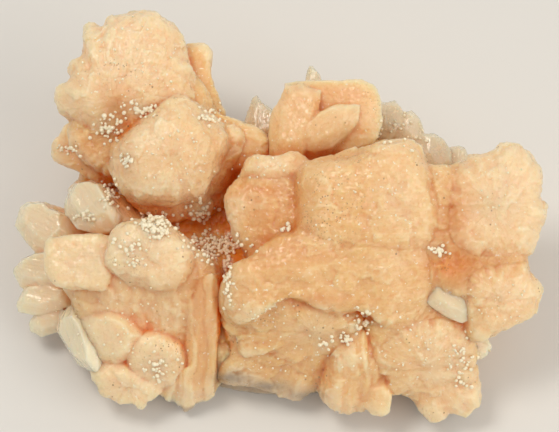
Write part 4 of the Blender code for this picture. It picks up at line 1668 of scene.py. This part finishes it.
@dataclass
class Beads:
    """The bead crystals, about a millimetre wide, that sit in the gaps and on the heads.

    Attributes:
        name: The piece's name.
        seed: Which random numbers.
        smallest: The least radius.
        usual: The most frequent radius.
        largest: The greatest radius.
        lone: The share of that size that beads far from others have.
        spread: How far beads stray from a patch's middle, as a share of its half widths.
        lift: How far a bead's middle stands off the surface, as a share of its radius.
        sides: Sides of a bead.
        levels: Levels of its faces.
        patches: Where the beads sit.
        finish: Their finish.
    """

    name: str = "beads"
    seed: int = 5
    smallest: float = 0.3
    usual: float = 0.45
    largest: float = 0.7
    lone: float = 0.6
    spread: float = 0.55
    lift: float = 0.35
    sides: int = 7
    levels: int = 5
    patches: tuple[Patch, ...] = (
        Patch((214, 246), (28, 12), 170), Patch((228, 276), (5, 24), 45), Patch((156, 224), (17, 12), 110),
        Patch((128, 250), (22, 20), 28), Patch((110, 128), (12, 12), 45), Patch((138, 112), (24, 9), 40),
        Patch((110, 192), (8, 10), 45), Patch((90, 216), (13, 5), 22), Patch((211, 116), (12, 10), 26),
        Patch((128, 160), (6, 9), 22), Patch((70, 150), (12, 6), 16), Patch((122, 70), (60, 45), 45),
        Patch((175, 150), (40, 40), 35), Patch((200, 212), (16, 12), 40), Patch((365, 322), (12, 13), 34),
        Patch((346, 338), (8, 8), 16), Patch((462, 365), (14, 26), 34), Patch((420, 350), (45, 30), 30),
        Patch((438, 250), (9, 7), 16), Patch((286, 226), (6, 4), 12), Patch((262, 168), (20, 14), 14),
        Patch((160, 366), (16, 12), 26), Patch((130, 330), (55, 50), 34), Patch((268, 312), (28, 12), 22),
        Patch((325, 343), (8, 5), 10), Patch((400, 130), (24, 18), 24), Patch((300, 350), (60, 30), 22),
        Patch((360, 200), (60, 50), 20), Patch((500, 300), (30, 28), 14), Patch((490, 200), (40, 45), 12))
    finish: StilbiteFinish = BEAD

    def build(self, ground: BVHTree, enclosure: Enclosure) -> bpy.types.Object:
        """Makes the beads where the lines of sight meet the cluster.

        Args:
            ground: The finished surface that the beads sit on.
            enclosure: How enclosed each place is.

        Returns:
            The piece.
        """
        draw = random.Random(self.seed)
        seats = [self.seat(draw, ground, patch) for patch in self.patches for _ in range(patch.count)]
        piece = copies(self.name, self.one_bead(), [seat for seat in seats if seat])
        places = numbers(piece.data, "co") / MM
        far = enclosure.at(places, enclosure.far)
        # Painted shade on beads that sit far into the gaps
        carry(piece.data, "depth", 0.35 * eased(far, *BEAD_FAR))
        for name, share in (("pale", 0.3), ("stain", 0.0), ("crust", 0.0), ("painted_glow", 0.0), ("edge", 0.0)):
            carry(piece.data, name, np.full(len(places), share))
        carry(piece.data, "grain", places)
        piece.data.shade_smooth()
        piece.data.materials.append(self.finish.material())
        return piece

    def one_bead(self) -> bmesh.types.BMesh:
        """One bead of radius 1, with few faces because it is repeated hundreds of times."""
        mesh = bmesh.new()
        bmesh.ops.create_uvsphere(mesh, u_segments=self.sides, v_segments=self.levels, radius=1.0)
        return mesh

    def seat(self, draw: random.Random, ground: BVHTree, patch: Patch) -> Matrix | None:
        """Finds where one bead of a patch sits.

        Args:
            draw: The random numbers.
            ground: The surface that it sits on.
            patch: The patch that it belongs to.

        Returns:
            The bead's place, turn and size, or nothing where the line of sight misses the cluster.
        """
        column = draw.gauss(patch.middle[0], patch.reach[0] * self.spread)
        row = draw.gauss(patch.middle[1], patch.reach[1] * self.spread)
        sight = (VIEW.seen(column, row) - VIEW.eye).normalized()
        size = draw.triangular(self.smallest, self.largest, self.usual) * MM
        if patch.count < patch.reach[0]:
            size *= self.lone
        radii = [size * draw.uniform(0.6, 1.0) for _ in range(3)]
        turn = Euler([draw.uniform(0.0, FULL_TURN) for _ in range(3)]).to_matrix().to_4x4()
        hit, normal, _, _ = ground.ray_cast(VIEW.eye * MM, sight)
        if hit is None:
            return None
        return Matrix.Translation(hit + normal * size * self.lift) @ turn @ Matrix.Diagonal((*radii, 1.0))


def copies(name: str, mesh: bmesh.types.BMesh, seats: list[Matrix]) -> bpy.types.Object:
    """An object of many placed copies of one small shape.

    Args:
        name: The object's name.
        mesh: The shape, which is used up.
        seats: The place, turn and size of each copy.

    Returns:
        The object, linked to the scene.
    """
    mesh.verts.index_update()
    shape = np.array([vertex.co for vertex in mesh.verts])
    faces = [[corner.index for corner in face.verts] for face in mesh.faces]
    mesh.free()
    places = np.vstack([shape @ np.array(seat)[:3, :3].T + np.array(seat)[:3, 3] for seat in seats])
    starts = range(0, len(seats) * len(shape), len(shape))
    every = [[start + corner for corner in face] for start in starts for face in faces]
    data = bpy.data.meshes.new(name)
    data.from_pydata(places.tolist(), [], every)
    made = bpy.data.objects.new(name, data)
    bpy.context.scene.collection.objects.link(made)
    return made


@dataclass(frozen=True)
class SoftLight:
    """A square soft light: its place from the cluster's middle and its side, in metres, and its watts."""

    name: str
    offset: Direction
    side: float
    energy: float


@dataclass
class Studio:
    """The plain floor, the soft lights and the camera.

    Attributes:
        floor_side: The floor's side, in metres.
        floor_colour: Its colour.
        lights: The lights.
        light_colour: Their colour.
        sky: How bright the surroundings are.
        sky_colour: Their colour.
    """

    floor_side: float = 4.0
    floor_colour: Colour = linear(226, 224, 220)
    lights: tuple[SoftLight, ...] = (
        SoftLight("key", (-0.22, 0.06, 0.57), 0.2, 1.35), SoftLight("fill", (0.45, -0.25, 0.35), 0.5, 1.6),
        SoftLight("back", (0.1, 0.6, 0.2), 0.4, 0.35))
    light_colour: Direction = (1.0, 0.95, 0.87)
    sky: float = 0.5
    sky_colour: Colour = (1.0, 0.98, 0.95, 1.0)

    def build(self) -> None:
        """Sets up the floor, the lights, the surroundings and the camera."""
        self.add_floor()
        for light in self.lights:
            self.add_light(light)
        world = bpy.data.worlds.new("studio")
        world.use_nodes = True
        backdrop = world.node_tree.nodes["Background"]
        backdrop.inputs["Color"].default_value = self.sky_colour
        backdrop.inputs["Strength"].default_value = self.sky
        bpy.context.scene.world = world
        bpy.context.scene.view_settings.view_transform = "Standard"
        self.add_camera()

    def add_floor(self) -> None:
        """Adds the pale floor that the cluster rests on."""
        mesh = bmesh.new()
        bmesh.ops.create_grid(mesh, x_segments=1, y_segments=1, size=self.floor_side / 2)
        floor = mesh_object("floor", mesh)
        mesh.free()
        sheet = NodeSheet("floor_paper")
        sheet.shader.inputs["Base Color"].default_value = self.floor_colour
        sheet.shader.inputs["Roughness"].default_value = 0.85
        floor.data.materials.append(sheet.material)

    def add_light(self, light: SoftLight) -> None:
        """Adds a soft light that looks at the cluster."""
        lamp = bpy.data.lights.new(light.name, "AREA")
        lamp.size = light.side
        lamp.energy = light.energy
        lamp.color = self.light_colour
        made = bpy.data.objects.new(light.name, lamp)
        made.location = Vector(VIEW.target) * MM + Vector(light.offset)
        made.rotation_euler = (-Vector(light.offset)).to_track_quat("-Z", "Y").to_euler()
        bpy.context.scene.collection.objects.link(made)

    def add_camera(self) -> None:
        """Adds the camera where the viewer is."""
        lens = bpy.data.cameras.new("camera")
        lens.sensor_width = VIEW.sensor
        lens.lens = VIEW.sensor * VIEW.distance / (VIEW.columns * VIEW.grid_step)
        camera = bpy.data.objects.new("camera", lens)
        camera.location = VIEW.eye * MM
        camera.rotation_euler = (-VIEW.toward).to_track_quat("-Z", "Y").to_euler()
        bpy.context.scene.collection.objects.link(camera)
        bpy.context.scene.camera = camera


def joined_tree(meshes: list[bmesh.types.BMesh]) -> tuple[BVHTree, Vector, Vector]:
    """One search tree of several meshes.

    Args:
        meshes: The meshes.

    Returns:
        The tree, in metres, and the lowest and highest corners, in millimetres.
    """
    corners: list[Vector] = []
    faces: list[list[int]] = []
    for mesh in meshes:
        mesh.verts.index_update()
        start = len(corners)
        corners += [vertex.co.copy() for vertex in mesh.verts]
        faces += [[start + corner.index for corner in face.verts] for face in mesh.faces]
    low = Vector([min(corner[axis] for corner in corners) for axis in range(3)]) / MM
    high = Vector([max(corner[axis] for corner in corners) for axis in range(3)]) / MM
    return BVHTree.FromPolygons(corners, faces), low, high


def surface_tree(pieces: list[bpy.types.Object]) -> BVHTree:
    """A search tree of finished pieces."""
    corners: list[Vector] = []
    faces: list[list[int]] = []
    for piece in pieces:
        start = len(corners)
        corners += [vertex.co.copy() for vertex in piece.data.vertices]
        faces += [[start + index for index in face.vertices] for face in piece.data.polygons]
    return BVHTree.FromPolygons(corners, faces)


def stand_for_solid(piece: bpy.types.Object) -> None:
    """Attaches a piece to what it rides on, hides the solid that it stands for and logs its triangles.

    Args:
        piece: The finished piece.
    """
    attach(piece, BODY)
    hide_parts(NODE)
    count = sum(len(face.vertices) - 2 for face in piece.data.polygons)
    log.info("%s: %d triangles", piece.name, count)


def main() -> None:
    """Builds the cluster group by group, then the beads and the studio."""
    logging.basicConfig(level=logging.INFO, format="%(message)s")
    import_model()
    plans = [
        Piece("upper_growth", (UpperHeads(),)),
        Piece("right_growth", (BackBlock(), CentreHeads(), LowerHeads(), RightHeads()), skin=0.46),
        Piece("left_growth", (LeftSheaves(),)),
        Piece("grey_blades", (GreyBlades(),), CLEAR, 0.3),
        Piece("pale_blades", (PaleBlades(),), PEARLY, 0.28),
        Mound(),
    ]
    meshes = [plan.bodies() for plan in plans]
    enclosure = Enclosure(*joined_tree(meshes))
    pieces = [plan.build(mesh, enclosure) for plan, mesh in zip(plans, meshes)]
    pieces.append(Beads().build(surface_tree(pieces), enclosure))
    for piece in pieces:
        stand_for_solid(piece)
    Studio().build()


if __name__ == "__main__":
    main()
